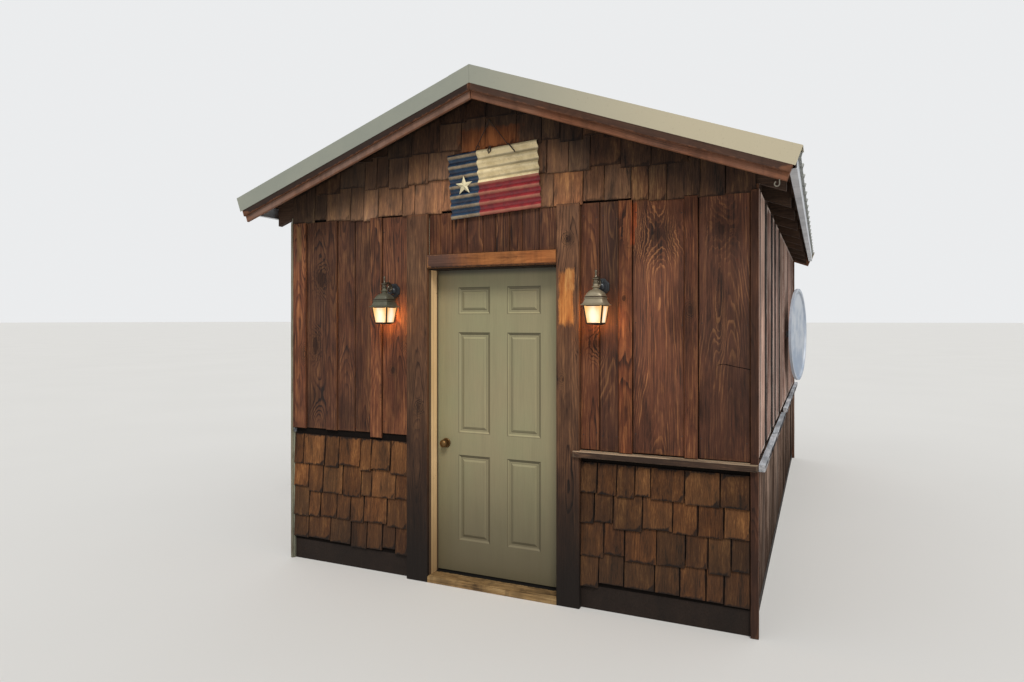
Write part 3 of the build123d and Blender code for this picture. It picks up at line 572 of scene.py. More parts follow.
metal("roof_metal", "a9aaa4", "878a85", "6f6a5f", metallic=0.15, rough=0.6, spangle=0.06,
      dents=0.06, cloud=0.2, washed=0.6)
# The rake takes painted light on the right.
metal("rake_metal", "8f9184", "868a80", "5d5a4e", metallic=0.15, rough=0.5, dents=0.4, cloud=0.5,
      painted_light_right="b9ae93")
metal("galvanised", "d3d6da", "b9bdc2", "8a857c", metallic=0.4, spangle=0.16, size=45.0)
metal("aged_brass", "7c5e37", "543d25", "2e2216", metallic=0.9, rough=0.32, dents=0.05)
metal("hinge_steel", "8b8578", "6e685c", "5a3b25", metallic=0.8, dents=0.05)
# The lantern caps take painted light on the right.
metal("lantern_bronze", "6c6854", "45463b", "9b967f", metallic=0.35, rough=0.42, spots=0.6,
      dents=0.1, cloud=0.8, painted_light_right="a3947a")
metal("arm_bronze", "6e6554", "302f2b", "a59d87", metallic=0.75, rough=0.26, spots=0.5,
      dents=0.05, cloud=1.0)
metal("dark_bronze", "3a2a1c", "21190f", "6b4f30", metallic=0.5, rough=0.4, dents=0.05)
# a darker copy of the bronze for the wall plates and bosses: painted shade
metal("shaded_bronze", "35373a", "222428", "6b7b7c", metallic=0.5, rough=0.36, spots=0.6,
      dents=0.1, cloud=1.0)
metal("hanging_wire", "362a22", "261d16", "5c3520", metallic=0.3, dents=0.0)
metal("disc_metal", "bcc2ca", "97a4b6", "b5a48e", metallic=0.1, rough=0.5, spots=0.6, dents=0.25,
      cloud=1.0)
print("timber, paint and metal finishes", len(finishes))

# %% [markdown]
# The lantern glass is frosted and lit from inside. A real lamp is a small bright point, but the
# frosting spreads it, so the pane itself glows: nearly white in front of the bulb, more amber
# towards the frame. Further down, a warm lamp inside each lantern lights the wood around it.

# %% Lit glass
bulb_height = 1.765
graph, here = new_material("lit_glass")
sideways, outwards, high = graph.split(here)
beside = graph.math("MINIMUM", abs(abs(sideways) - lantern_across),
                    abs(outwards - (front - lantern_out)))
away = graph.length(graph.join(beside, (high - bulb_height) * 0.45, 0.0))
cloudy = graph.noise(here, (40, 40, 18), 3.0) * 0.03 + away
glow = graph.mix(graph.step(cloudy, 0.022, 0.062), (1.0, 0.92, 0.74, 1), (1.0, 0.56, 0.20, 1))
graph.surface(graph.mix(graph.step(cloudy, 0.0, 0.07), "c8a878", "a87840"), 0.5,
              Emission_Color=glow, Emission_Strength=0.86)
print("finishes", len(finishes))

# %% [markdown]
# Nearly every form made below is a stack of outlines with a skin round it. A board is its cross
# section many times over, a cap is a pile of rings. This collector joins such stacks into one
# mesh and hangs the mesh on the shed as a piece.


def new_mesh(name, points, faces):
    mesh = bpy.data.meshes.new(name)
    mesh.from_pydata(points, [], faces)
    return mesh


def store(mesh, label, values):
    """Keeps three numbers for each point, under a name that a finish reads."""
    layer = mesh.attributes.new(label, "FLOAT_VECTOR", "POINT")
    layer.data.foreach_set("vector", [part for value in values for part in value])


def place_piece(name, mesh, finish, nodes=(), body="root", angle=32):
    """Links a finished mesh as a piece of the shed."""
    mesh.validate()
    mesh.shade_smooth()
    mesh.set_sharp_from_angle(angle=radians(angle))
    mesh.materials.append(finishes[finish])
    piece = bpy.data.objects.new(name, mesh)
    bpy.context.collection.objects.link(piece)
    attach(piece, body)
    if nodes:
        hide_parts(*nodes)
    print(name, "faces", len(mesh.polygons))


class Skins:
    """Collects skins through stacked outlines into one mesh."""

    def __init__(self):
        self.points, self.faces = [], []

    def add(self, rings, place=None):
        place = place or Matrix()
        first, count = len(self.points), len(rings[0])
        for ring in rings:
            self.points.extend(place @ point for point in ring)
        last = len(self.points) - count
        for row in range(first, last, count):
            for index in range(count):
                a, b = row + index, row + (index + 1) % count
                self.faces.append((a, b, b + count, a + count))
        self.faces.append(tuple(first + index for index in reversed(range(count))))
        self.faces.append(tuple(last + index for index in range(count)))

    def build(self, name, finish, nodes=(), body="root"):
        mesh = new_mesh(name, self.points, self.faces)
        place_piece(name, mesh, finish, nodes, body, 35)


# %% [markdown]
# Almost everything on this shed is a board of some kind, and one collector makes them all. It
# takes a board's corner and its three directions, cuts it into short lengths, wanders its edges a
# few millimetres, rounds its arrises and gives each corner its place in the log, its tone and
# whether it lies on an edge. Modelling one board and copying it would be quicker, but no two real
# boards are alike, and here none are.

# %% The board collector
dice = random.Random(41)


def steady(value, seed):
    """A smooth random value between -1 and 1 for a place on one board."""
    return noise.noise(Vector((value, seed * 7.31, seed * 1.7)))


class Boards(Skins):
    """Collects boards into one mesh, with the values that their finish reads."""

    def __init__(self):
        super().__init__()
        self.grain, self.tone, self.edge = [], [], []

    def add(self, start, along, across, out, length, width, thick, wander=0.002, cup=0.0008,
            round_off=0.003, heart=None, tone=None, step=0.09, taper=1.0, lean=0.0, ragged=0.0,
            ridges=0.0, columns=4, cuts=(0.0, 0.0), fade=0.0):
        """start is the middle of the board's back at its first end; along, across and out are
        its directions; taper is the last end's share of the thickness, lean its outward shift,
        cuts how far each end leans per unit of width, and fade how much paler it gets."""
        start, along, across, out = (Vector(v) for v in (start, along, across, out))
        seed = dice.uniform(0, 900)
        heart = heart or (dice.uniform(-0.35, 0.35) * width, dice.uniform(0.02, 0.11))
        tone = tone or (dice.uniform(-0.25, 0.2), dice.uniform(0, 0.3), dice.uniform(0, 1))
        shift = dice.uniform(0, 60)
        count = max(2, round(length / step))
        face = [(index / columns, 2) for index in range(columns + 1)]
        rings = []
        for row in range(count + 1):
            share = row / count
            run = share * length
            near = -width / 2 + wander * steady(run * 4.1, seed)
            far = width / 2 + wander * steady(run * 4.1 + 40, seed)
            depth = thick * (1 + (taper - 1) * share)
            at_end, inward = row in (0, count), 1 if row == 0 else -1
            rings.append([])
            for side, level in [(0, 0), (0, 1)] + face + [(1, 1), (1, 0)]:
                u, v, w = run, near + (far - near) * side, lean * share
                if at_end and ragged:
                    jag = ragged * steady(side * 6.0, seed + row)
                    u += jag if row == 0 else -abs(jag)
                if at_end and level == 2:
                    u += round_off * inward
                if at_end:
                    u += cuts[0 if row == 0 else 1] * v
                on_edge = 1.0 if level != 2 or at_end else 0.0
                if level == 1:
                    w += depth - min(round_off, depth * 0.4)
                elif level == 2:
                    bow = cup * steady(side * 2 + run * 2.0, seed + 3)
                    bow += ridges * steady(side * width * 160, seed + 9)
                    w += depth + bow
                    if side in (0, 1):
                        v += round_off * (1 - 2 * side)
                        on_edge = 0.8
                rings[-1].append(start + along * u + across * v + out * w)
                self.grain.append((u + shift, v + heart[0], w + heart[1]))
                self.tone.append((tone[0] + fade * share, tone[1], tone[2]))
                self.edge.append(on_edge)
        super().add(rings)

    def build(self, name, finish, nodes=()):
        mesh = new_mesh(name, self.points, self.faces)
        store(mesh, "grain", self.grain)
        store(mesh, "tone", self.tone)
        mesh.attributes.new("edge", "FLOAT", "POINT").data.foreach_set("value", self.edge)
        place_piece(name, mesh, finish, nodes)


# %% [markdown]
# Behind the boards is black building paper. On the real wall it is never meant to be seen, but it
# is what makes every joint look like a black line, and it shows as a band where the left-hand
# ledge has gone. It is a thin sheet just off each wall.

# %% Building paper
graph, here = new_material("building_paper")
crinkle = graph.noise(here, (35, 35, 35), 3.0)
graph.surface(graph.mix(crinkle, "0c0a09", "1d1815"), graph.step(crinkle, 0.3, 0.7, 0.85, 0.95),
              crinkle, 0.4, Specular_IOR_Level=0.05)
paper = Boards()
paper_low, paper_thick = 0.1403, 0.0012
flat = {"wander": 0.0, "cup": 0.0002, "round_off": 0.0004, "step": 0.4, "columns": 6}
for sign, ways in ((-1, on_left), (1, on_right)):
    paper.add((sign * 1.057, core_front, paper_low), *on_front, board_top - paper_low, 1.094,
              paper_thick, **flat)
    paper.add((sign * core_side, 0, paper_low), *ways, 2.3, 5.40, paper_thick, **flat)
paper.add((0, core_front, 2.175), *on_front, 0.27, 0.90, paper_thick, **flat)
for low, high in ((2.451, 2.62), (2.621, 2.78), (2.781, 2.92), (2.921, 3.02)):
    half = min((soffit_ridge - high + 0.12) / tan(pitch), 1.58)
    for wall, ways in ((core_front, on_front), (-core_front, on_back)):
        paper.add((0, wall, low), *ways, high - low, 2 * half, paper_thick, **flat)
paper.add((0, -core_front, paper_low), *on_back, 2.3, 3.15, paper_thick, **flat)
paper.build("building_paper", "building_paper")

# %% [markdown]
# The upper walls are board and batten: wide boards side by side, and a narrower batten over each
# joint. On the front every width is its own, read along the wall from the left corner. The boards
# lie on the wall and the battens stand a finger's width proud of them.

# %% Front boards and battens
board_thick = 0.012
board_back = core_front - 0.0016
wide = [(-1.604, -1.488), (-1.486, -1.302), (-1.298, -1.212), (-1.210, -1.062), (-1.059, -0.922),
        (-0.918, -0.834), (-0.831, -0.621), (0.603, 0.722), (0.724, 0.843), (0.846, 0.921),
        (0.924, 1.225), (1.227, 1.300), (1.302, 1.581)]
tones = {
    -1.604: (0.04, 0.15, 0.3), -1.486: (-0.20, 0.0, 0.35), -1.210: (-0.12, 0.04, 0.45),
    -1.059: (-0.16, 0.0, 0.2), -0.831: (0.18, 0.20, 0.35), 0.603: (-0.06, 0.18, 0.3),
    0.724: (-0.20, 0.0, 0.62), 0.924: (0.13, 0.20, 0.65), 1.302: (-0.27, 0.04, 0.62),
}
fades = {0.924: 0.22, 1.302: 0.42}
boards = Boards()
for low, high in wide:
    middle = (low + high) / 2
    bottom = ledge_top + (0.0 if middle < 0 else 0.002) + dice.uniform(0, 0.006)
    heart = (dice.uniform(-0.03, 0.03), dice.uniform(0.022, 0.05))
    boards.add((middle, board_back, bottom), *on_front, board_top - bottom, high - low - 0.004,
               board_thick, heart=heart, tone=tones.get(low), step=0.06, columns=6, ragged=0.002,
               fade=fades.get(low, 0.0))
boards.build("front_wide_boards", "stained_boards", ["front_boards"])

battens = Boards()
for low, high, tone, drop in (
        (-1.604, -1.490, (0.18, 0.28, 0.5), 0), (-1.302, -1.210, (-0.15, 0.05, 0.2), 0),
        (-0.922, -0.831, (0.10, 0.20, 0.3), 0.026), (0.843, 0.922, (0.14, 0.40, 0.1), 0),
        (1.225, 1.300, (0.02, 0.15, 0.2), 0)):
    bottom = ledge_top + 0.001 - drop
    battens.add(((low + high) / 2, board_back - board_thick - 0.0006, bottom), *on_front,
                board_top - bottom, high - low, 0.016, wander=0.003, tone=tone, step=0.05,
                columns=5, round_off=0.004, ragged=0.002)
battens.build("front_battens", "stained_boards")

over_door = Boards()
edges = (-0.456, -0.372, -0.281, -0.170, -0.055, 0.035, 0.133, 0.219, 0.334, 0.456)
for low, high in zip(edges, edges[1:]):
    tone = (dice.uniform(-0.3, -0.08), dice.uniform(0, 0.2), dice.uniform(0, 0.6))
    over_door.add(((low + high) / 2, board_back, 2.176), *on_front, 0.272, high - low - 0.004,
                  0.015, step=0.05, tone=tone)
over_door.build("boards_over_door", "stained_boards")

# %% [markdown]
# Shingles are thin wedges split from cedar, thick at the foot. Each course hides the top half of
# the one below, so only their feet stand out, at slightly different heights and never the same
# width. They are laid here from the lowest course up, each leaning on the last, exactly as a
# roofer would. Modelling one flat face with a pattern would miss the shadows under their feet.

# %% Shingle courses
shingle_lift = 0.130


def lay(name, finish, nodes, span, feet, top, ways, reach, tone_of, under_roof=False,
        widths=(0.075, 0.185), spread=0.013, thick=(0.0085, 0.0125), gap=0.0025):
    """A field of shingles over a span of a wall, from the lowest foot up; reach is how far the
    wall's face is from the middle of the shed, and under_roof cuts them off along the slopes."""
    field = Boards()
    _, across, out = ways
    for foot, above in zip(feet, [*feet[1:], top]):
        place, end = span
        while place < end - 0.02:
            width = dice.uniform(*widths)
            if end - place - width < 0.05:
                width = end - place
            middle, half = place + width / 2, width / 2
            low = foot + dice.uniform(-spread, spread)
            high, cut = min(above + 0.05, top), 0.0
            if under_roof and roof_line(abs(middle) + half, shingle_lift) < high:
                high = roof_line(max(abs(middle), half), shingle_lift)
                cut = tan(pitch) * ((middle < -half) - (middle > half))
            if high - low > 0.01:
                field.add(out * (reach + 0.0075) + across * middle + up * low, *ways, high - low,
                          width - gap, dice.uniform(*thick), taper=0.35, lean=-0.0062,
                          step=0.045, columns=5, ragged=0.003, ridges=0.0009, round_off=0.0018,
                          heart=(dice.uniform(-0.5, 0.5), 0.03), tone=tone_of(middle, foot),
                          cuts=(0.0, cut))
            place += width
    field.build(name, finish, nodes)


def cedar_tone(middle, foot):
    """Some split cedar has stayed pale while its neighbours went dark, most on the left."""
    pale = dice.random() < 0.25
    return ((dice.uniform(0.12, 0.30) if pale else dice.uniform(-0.32, 0.02))
            - (0.18 if middle > 0.5 else 0.0), dice.uniform(0.1, 0.35), dice.uniform(0, 0.8))


def gable_tone(middle, foot):
    """Up here the lowest course is a warm tan, the others go towards black; the left is paler."""
    side = max(-1.0, min(1.0, -middle))
    warm = 0.20 if foot < 2.5 and abs(middle) < 1.0 else 0.0
    return (dice.uniform(-0.30, 0.14) + 0.12 * side + warm, dice.uniform(0, 0.3) + warm,
            dice.uniform(0, 0.7) + 0.3 * side)


clad_low = 0.157
lower_feet, gable_feet, gable_top = (clad_low, 0.335, 0.518, 0.700), (2.655, 2.850, 3.045), 3.25
below_ledge = ledge_low - 0.002
thicker = {"widths": (0.085, 0.20), "spread": 0.019, "thick": (0.013, 0.019), "gap": 0.006}
lay("front_lower_shingles", "cedar_shingles", ["front_shingles"], (-1.602, -0.622), lower_feet,
    below_ledge, on_front, 0.0014 - core_front, cedar_tone, **thicker)
# These stop 30 mm under the ledge, so the black paper shows there as painted shadow of the ledge.
lay("front_shingles_right", "cedar_shingles", [], (0.602, 1.580), lower_feet, ledge_low - 0.030,
    on_front, 0.0014 - core_front, cedar_tone, **thicker)
lay("gable_shingles", "dark_shingles", ["front_gable_shingles"], (-1.612, 1.612),
    (2.447, *gable_feet), gable_top, on_front, 0.0068 - core_front, gable_tone, True,
    (0.09, 0.22), 0.018)

# %% [markdown]
# The right-hand wall faces the sun and the water. Its boards have gone grey-pink and stand apart.
# Between them stand boards in the black paper finish, painted shade for the dark bands, and the
# grey boards' pale edges are painted highlight. Below the ledge it has rough slabs with the bark
# edge left on. The left and back walls are out of sight and repeat the same carpentry, plainly.


# %% Side and back boards
def upright(name, finish, nodes, places, ways, reach, low, high, thick, tone_of, **how):
    """A row of upright boards on a wall; places are their middles along it and their widths."""
    field = Boards()
    for middle, width in places:
        field.add(ways[2] * reach + ways[1] * middle + up * low, *ways, high - low, width, thick,
                  tone=tone_of(middle), **how)
    field.build(name, finish, nodes)


def run_of_boards(start, end, widths, gap):
    """Places of boards from start to end, with widths and gaps drawn at random."""
    spans = []
    while start < end - 0.05:
        width = min(dice.uniform(*widths), end - start)
        spans.append((start, start + width))
        start += width + dice.uniform(*gap)
    return spans


def middles(spans):
    """The middle and the width of each board."""
    return [((start + end) / 2, end - start) for start, end in spans]


def joints(spans, width):
    """Places of battens of one width, each over the gap between two boards."""
    return [((end + start) / 2, width) for (_, end), (start, _) in zip(spans, spans[1:])]


def grey_tone(middle):
    darkest = -0.25 if middle < 0.1 else -0.6
    return (dice.uniform(darkest, 0.45), dice.uniform(0, 0.2), dice.uniform(0, 1))


def shadow_tone(middle):
    return (-0.4, 0, 0.3)


def stained_tone(middle):
    return (dice.uniform(-0.25, 0.15), dice.uniform(0, 0.3), dice.uniform(0, 0.9))


corner = 2.711
above_ledge, side_top, back_top = ledge_top + 0.002, 2.494, 2.458
side_face, side_batten = core_side + 0.0016, core_side + 0.0142
seen = [(-corner, -2.520), (-2.465, -2.145), (-1.975, -1.585), (-1.365, -1.185),
        (-0.995, -0.635), (-0.425, 0.075)]
seen += run_of_boards(0.11, corner, (0.14, 0.26), (0.004, 0.012))
# dark boards in the black paper finish between the grey ones: painted shade
shade_spans = [(a[1] + 0.003, b[0] - 0.003) for a, b in zip(seen[:5], seen[1:6])]
rough = {"step": 0.07, "ragged": 0.004}
upright("right_boards", "weathered_boards", ["right_cladding"], middles(seen), on_right, side_face,
        above_ledge, side_top, 0.016, grey_tone, wander=0.004, **rough)
upright("right_painted_shade_boards", "building_paper", [], middles(shade_spans), on_right, side_face,
        above_ledge, side_top, 0.0156, shadow_tone, **rough)
slabs = middles(run_of_boards(-corner, corner, (0.10, 0.22), (0.004, 0.016)))
upright("right_bark_slabs", "bark_slabs", [], slabs, on_right, side_face, clad_low, below_ledge,
        0.017, grey_tone, wander=0.014, **rough)

spans = run_of_boards(-corner, corner, (0.19, 0.26), (0.003, 0.005))
upright("left_boards", "stained_boards", ["left_cladding"], middles(spans), on_left, side_face,
        above_ledge, side_top, board_thick, stained_tone, **rough)
upright("left_battens", "stained_boards", [], joints(spans, 0.075), on_left, side_batten,
        ledge_top + 0.001, side_top - 0.001, 0.014, stained_tone, step=0.07)
lay("left_lower_shingles", "cedar_shingles", [], (-2.709, 2.709), lower_feet, below_ledge,
    on_left, core_side + 0.0014, cedar_tone)

spans = run_of_boards(-1.581, 1.581, (0.18, 0.26), (0.003, 0.005))
upright("back_boards", "stained_boards", ["back_cladding"], middles(spans), on_back,
        0.0016 - core_front, above_ledge, back_top, board_thick, stained_tone)
upright("back_battens", "stained_boards", [], joints(spans, 0.078), on_back, 0.0142 - core_front,
        above_ledge, back_top - 0.002, 0.014, stained_tone)
lay("back_lower_shingles", "cedar_shingles", [], (-1.580, 1.580), lower_feet, below_ledge,
    on_back, 0.0014 - core_front, cedar_tone)
lay("back_gable_shingles", "dark_shingles", [], (-1.612, 1.612), (2.462, *gable_feet), gable_top,
    on_back, 0.0014 - core_front, gable_tone, True, (0.09, 0.22), 0.02)

# %% [markdown]
# Thick boards close the corners, frame the door and top the shingles. The casings run to the
# ground beside the sunken door. The ledge survives on the right of the front only; a pale stub
# and a black gap are left of it on the other side, and a length is missing from the right-hand
# wall. Weather has bleached the side ledge almost white.

# %% Corners, casings and ledges
corner_out = 0.010
corners, strip = Boards(), Boards()
for sx in (-1, 1):
    for sy in (-1, 1):
        target, broad = (strip, 0.018) if sx == sy == -1 else (corners, 0.042)
        target.add((sx * (half_width + corner_out - broad / 2), sy * (half_depth - 0.017), 0.0),
                   up, right, (0, sy, 0), 2.459, broad, 0.027, wander=0.001, step=0.08,
                   tone=(-0.1, 0.1, 0.4))
        target.add((sx * (half_width - 0.017), sy * (half_depth + corner_out - 0.0275), 0.0), up,
                   back_way, (sx, 0, 0), 2.490, 0.0275, 0.0265, wander=0.001, step=0.08,
                   tone=(-0.15, 0.1, 0.4))
corners.build("corner_posts", "corner_timber", ["corner_boards"])
strip.build("corner_strip_left", "corner_strip")

casing_back = front - 0.0004
# Each casing's tone fades paler upwards; its dark foot is partly painted shade near the ground.
for side, x, width, heart, tone, fade in (
        ("left", -0.5365, 0.1612, 0.01, (-0.48, 0.0, 0.3), 0.58),
        ("right", 0.5295, 0.1472, -0.02, (-0.42, 0.05, 0.3), 0.72)):
    casing = Boards()
    casing.add((x, casing_back, 0.0), *on_front, 2.449, width, 0.0228, wander=0.0004, cup=0.0003,
               heart=(heart, 0.03), tone=tone, step=0.05, columns=6, fade=fade)
    casing.build(f"casing_face_{side}", "casing_timber")
along_front = (right, -up, forward)
header = Boards()
header.add((-0.4565, casing_back, 2.130), *along_front, 0.913, 0.0886, 0.0308, wander=0.0003,
           cup=0.0003, heart=(0.01, 0.03), tone=(0.05, 0.2, 0.2), step=0.05, columns=5)
header.build("header_face", "header_timber")

ledge = Boards()
ledge.add((0.566, front - 0.0232, ledge_middle), *along_front, 1.058, 0.038, 0.0225,
          wander=0.0015, tone=(0.05, 0.1, 0.6), step=0.05, round_off=0.004)
ledge.add((0.603, core_front - 0.001, ledge_middle), *along_front, 0.978, 0.038, 0.0400,
          wander=0.0005, tone=(0.0, 0.1, 0.5), step=0.08)
ledge.build("front_ledge_board", "ledge_timber", ["front_ledge"])
stub = Boards()
stub.add((-1.603, core_front - 0.001, 0.938), *along_front, 0.012, 0.026, 0.024, wander=0.001,
         tone=(-0.15, 0.0, 0.9), step=0.006)
stub.build("front_ledge_stub", "weathered_ledge")

side_ledge = Boards()
for start, end in ((-2.754, -0.405), (-0.095, 2.754)):
    side_ledge.add((half_width + 0.0108, start, ledge_middle), back_way, -up, right, end - start,
                   0.0385, 0.0345, wander=0.005, tone=(0.0, 0.0, 0.8), step=0.04, ragged=0.007,
                   ridges=0.0025, round_off=0.004)
side_ledge.build("right_ledge_board", "weathered_ledge", ["side_ledges"])
plain_ledge = Boards()
plain_ledge.add((-side_face, -corner, ledge_middle), back_way, -up, left_way, 2 * corner, 0.0385,
                0.0240, wander=0.001, tone=(-0.1, 0.1, 0.5), step=0.08)
plain_ledge.add((-1.624, half_depth + 0.0108, ledge_middle), right, -up, back_way, 3.248, 0.0385,
                0.0345, tone=(0.0, 0.1, 0.6), step=0.08)
plain_ledge.build("plain_ledge_boards", "ledge_timber", ["back_ledge"])

# %% [markdown]
# Under the roof sheets lie sawn boards, seen from inside and along the open eaves. The barge
# boards at each gable are doubled: an outer one under the metal, and a wider one set back behind
# it. The outer one is toned nearly black, a painted shadow of the metal above it, so that a dark
# band and a brown line below it follow the slope, with a little real shadow at the step.

# %% Roof boards and barge boards
rafter_deep = 0.140
boards_per_slope = 13
roof_boards = Boards()
for sign in (-1, 1):
    down, out = slope_ways(sign)
    width = (1.799 / cos(pitch) - 0.004) / boards_per_slope
    for index in range(boards_per_slope):
        middle = 0.003 + (index + 0.5) * width - rafter_deep * tan(pitch)
        base = Vector((0, -roof_end, soffit_ridge)) + down * middle + out * (rafter_deep + 0.0002)
        roof_boards.add(base, back_way, down, out, 2 * roof_end, width - 0.003, 0.0185,
                        wander=0.0008, step=0.5, tone=(dice.uniform(-0.2, 0.15), 0.05, 0.5))
roof_boards.build("roof_sarking_boards", "roof_boards", ["roof_deck"])

barges = Boards()
barge_top = 0.139
for end in (-1, 1):
    # the outer boards get a near-black tone: painted shadow of the metal above them
    for sign, outer, inner in ((-1, (-0.64, 0.0, 0.6), (0.10, 0.0, 1.0)),
                               (1, (-0.46, 0.0, 0.2), (0.14, 0.10, 0.0))):
        down, out = slope_ways(sign)
        for low, back, thick, tone in ((0.042, 0.0185, 0.0180, outer),
                                       (0.001, 0.0378, 0.0185, inner)):
            middle = (low + barge_top) / 2
            begin = 0.001 - middle * tan(pitch)
            base = Vector((0, end * (roof_end - back), soffit_ridge)) + down * begin + out * middle
            barges.add(base, down, out, (0, end, 0), 1.779 / cos(pitch) - begin, barge_top - low,
                       thick, wander=0.0012, tone=tone, step=0.07, columns=3,
                       cuts=(-tan(pitch), 0.0))
barges.build("barge_board_pair", "barge_timber", ["barge_boards"])

# %% [markdown]
# The floor is plain boards laid across the shed, as most sheds have. Only a strip shows through
# the doorway, but anyone who opens the door sees all of it.

# %% Floor boards
floor = Boards()
place = -2.578
while place < 2.57:
    width = min(0.142, 2.580 - place)
    floor.add((-1.449, place + width / 2, 0.004), right, back_way, up, 2.898, width - 0.003,
              0.0335, wander=0.0006, step=0.3, tone=(dice.uniform(-0.2, 0.15), 0.1, dice.random()))
    place += width
floor.build("floor_board_runs", "floor_boards", ["floor_deck"])

# %% [markdown]
# Caps, rings, tubes and knobs are outlines stacked along a line too, as a potter or a turner sees
# them. An outline may be anything between a square and a circle, which is how the lantern's
# square brim becomes its round neck without a seam.


# %% Helpers for turned and bent forms
def outline(height, half, square=2.0, count=32, turn=0.0):
    """A level ring of points; square is 2 for a circle and about 9 for a square."""
    ring = []
    for index in range(count):
        angle = 2 * pi * index / count + turn
        flat = (abs(cos(angle)) ** square + abs(sin(angle)) ** square) ** (1 / square)
        ring.append(Vector((half * cos(angle) / flat, half * sin(angle) / flat, height)))
    return ring


def stack(profile, *shape):
    """The outlines of a profile, given as (height, half width) and perhaps how square."""
    return [outline(*ring, *shape) for ring in profile]


def tube(path, radii, count=10):
    """Rings round a path of points, each turned to follow it."""
    rings = []
    for index, point in enumerate(path):
        before, after = path[max(index - 1, 0)], path[min(index + 1, len(path) - 1)]
        ahead = (after - before).normalized()
        side = (right - ahead * right.dot(ahead)).normalized()
        other = ahead.cross(side)
        radius = radii[index] if isinstance(radii, list) else radii
        turns = [2 * pi * step / count for step in range(count)]
        rings.append([point + side * radius * cos(turn) + other * radius * sin(turn)
                      for turn in turns])
    return rings


def facing_front(x, y, z):
    """Stands a stacked form at a place so that it grows forward, out of the wall."""
    return Matrix.Translation((x, y, z)) @ Matrix.Rotation(pi / 2, 4, "X")


# %% [markdown]
# Old boards split where they dry fastest, and one long split runs in from the right-hand corner.
# Nails hold every board at three rails, two to a rail, each with its own small error of the hand.

# %% Split board and nails
split = Skins()
path = [(1.404, 1.490), (1.428, 1.4955), (1.452, 1.4955), (1.478, 1.490), (1.504, 1.484),
        (1.530, 1.480), (1.556, 1.4755), (1.581, 1.470)]
split.add(tube([Vector((x, board_back - board_thick - 0.0002, z)) for x, z in path],
               [0.0006, 0.0016, 0.0020, 0.0018, 0.0016, 0.0018, 0.0020, 0.0022], 6))
split.build("board_split", "building_paper")
nails = Skins()
nail = stack([(0, 0.0036), (0.0006, 0.0036), (0.0011, 0.0022)], 2, 8)
for low, high in wide:
    for rail in (1.06, 1.72, 2.36):
        for inset in (0.018, high - low - 0.018):
            spot = (low + inset + dice.uniform(-0.004, 0.004), board_back - board_thick,
                    rail + dice.uniform(-0.02, 0.02))
            nails.add(nail, facing_front(*spot))
nails.build("board_nails", "hanging_wire")

# %% [markdown]
# Each lantern hangs from an arm on an eight-sided wall plate. Its square cap flares into a brim
# and rises in a bell shape to a turned neck and finial; below it a slim frame leans outwards
# round four lit panes. The panes stay as they are in the frame, and all the metal is made again
# here with softer edges. Heights count from the lantern's neck, and a third number says how
# square an outline is.

# %% Lanterns
cap = [
    (-0.11, 0.059, 9), (-0.111, 0.076, 9), (-0.1102, 0.0795, 9), (-0.1084, 0.0795, 9),
    (-0.1065, 0.075, 9), (-0.102, 0.0692, 9), (-0.096, 0.0644, 9), (-0.088, 0.0606, 9),
    (-0.079, 0.058, 8), (-0.0735, 0.0568, 8), (-0.0722, 0.0596, 8), (-0.067, 0.0598, 8),
    (-0.0655, 0.0552, 8), (-0.0605, 0.0545, 7), (-0.0592, 0.0566, 7), (-0.0552, 0.0566, 7),
    (-0.0538, 0.0522, 6.5), (-0.046, 0.05, 6), (-0.0385, 0.0458, 5), (-0.032, 0.0402, 4),
    (-0.0262, 0.0335, 3.2), (-0.0222, 0.0272, 2.6), (-0.019, 0.0222, 2.2), (-0.015, 0.0168, 2),
    (-0.01, 0.016, 2), (-0.008, 0.0205, 2), (-0.0055, 0.0245, 2), (-0.0025, 0.0245, 2),
    (0.0, 0.0195, 2), (0.003, 0.0155, 2), (0.016, 0.014, 2)]
foot = [(-0.2245, 0.032, 9), (-0.2235, 0.0395, 9), (-0.2215, 0.046, 9), (-0.2185, 0.0488, 9),
        (-0.215, 0.0488, 9), (-0.213, 0.0472, 9), (-0.2121, 0.0445, 9)]
bands = ([(-0.1165, 0.0602, 9), (-0.1105, 0.0606, 9)], [(-0.066, 0.0561, 8), (-0.0602, 0.0554, 7)],
         [(-0.0105, 0.0172, 2), (-0.0085, 0.0185, 2)])
finial = [(0.016, 0.014), (0.018, 0.0188), (0.0215, 0.0192), (0.0245, 0.0148), (0.031, 0.0132),
          (0.037, 0.015), (0.04, 0.019), (0.043, 0.0212), (0.0465, 0.0208), (0.049, 0.015),
          (0.052, 0.0112), (0.057, 0.0085), (0.063, 0.0062), (0.07, 0.0056), (0.076, 0.0062),
          (0.082, 0.0076), (0.088, 0.0078), (0.093, 0.0056), (0.097, 0.0022), (0.0995, 0.0006)]
plate = [(0.0, 0.0548), (0.0045, 0.0548), (0.007, 0.0535), (0.0085, 0.0478), (0.0125, 0.0455),
         (0.014, 0.0335)]
boss = [(0.012, 0.0275), (0.018, 0.0268), (0.0225, 0.0235), (0.0262, 0.018), (0.028, 0.011)]
bend = [(-0.018, 0.0), (-0.025, 0.022), (-0.038, 0.042), (-0.056, 0.0525), (-0.074, 0.0535),
        (-0.09, 0.048), (-0.102, 0.0385), (-lantern_out, 0.027)]
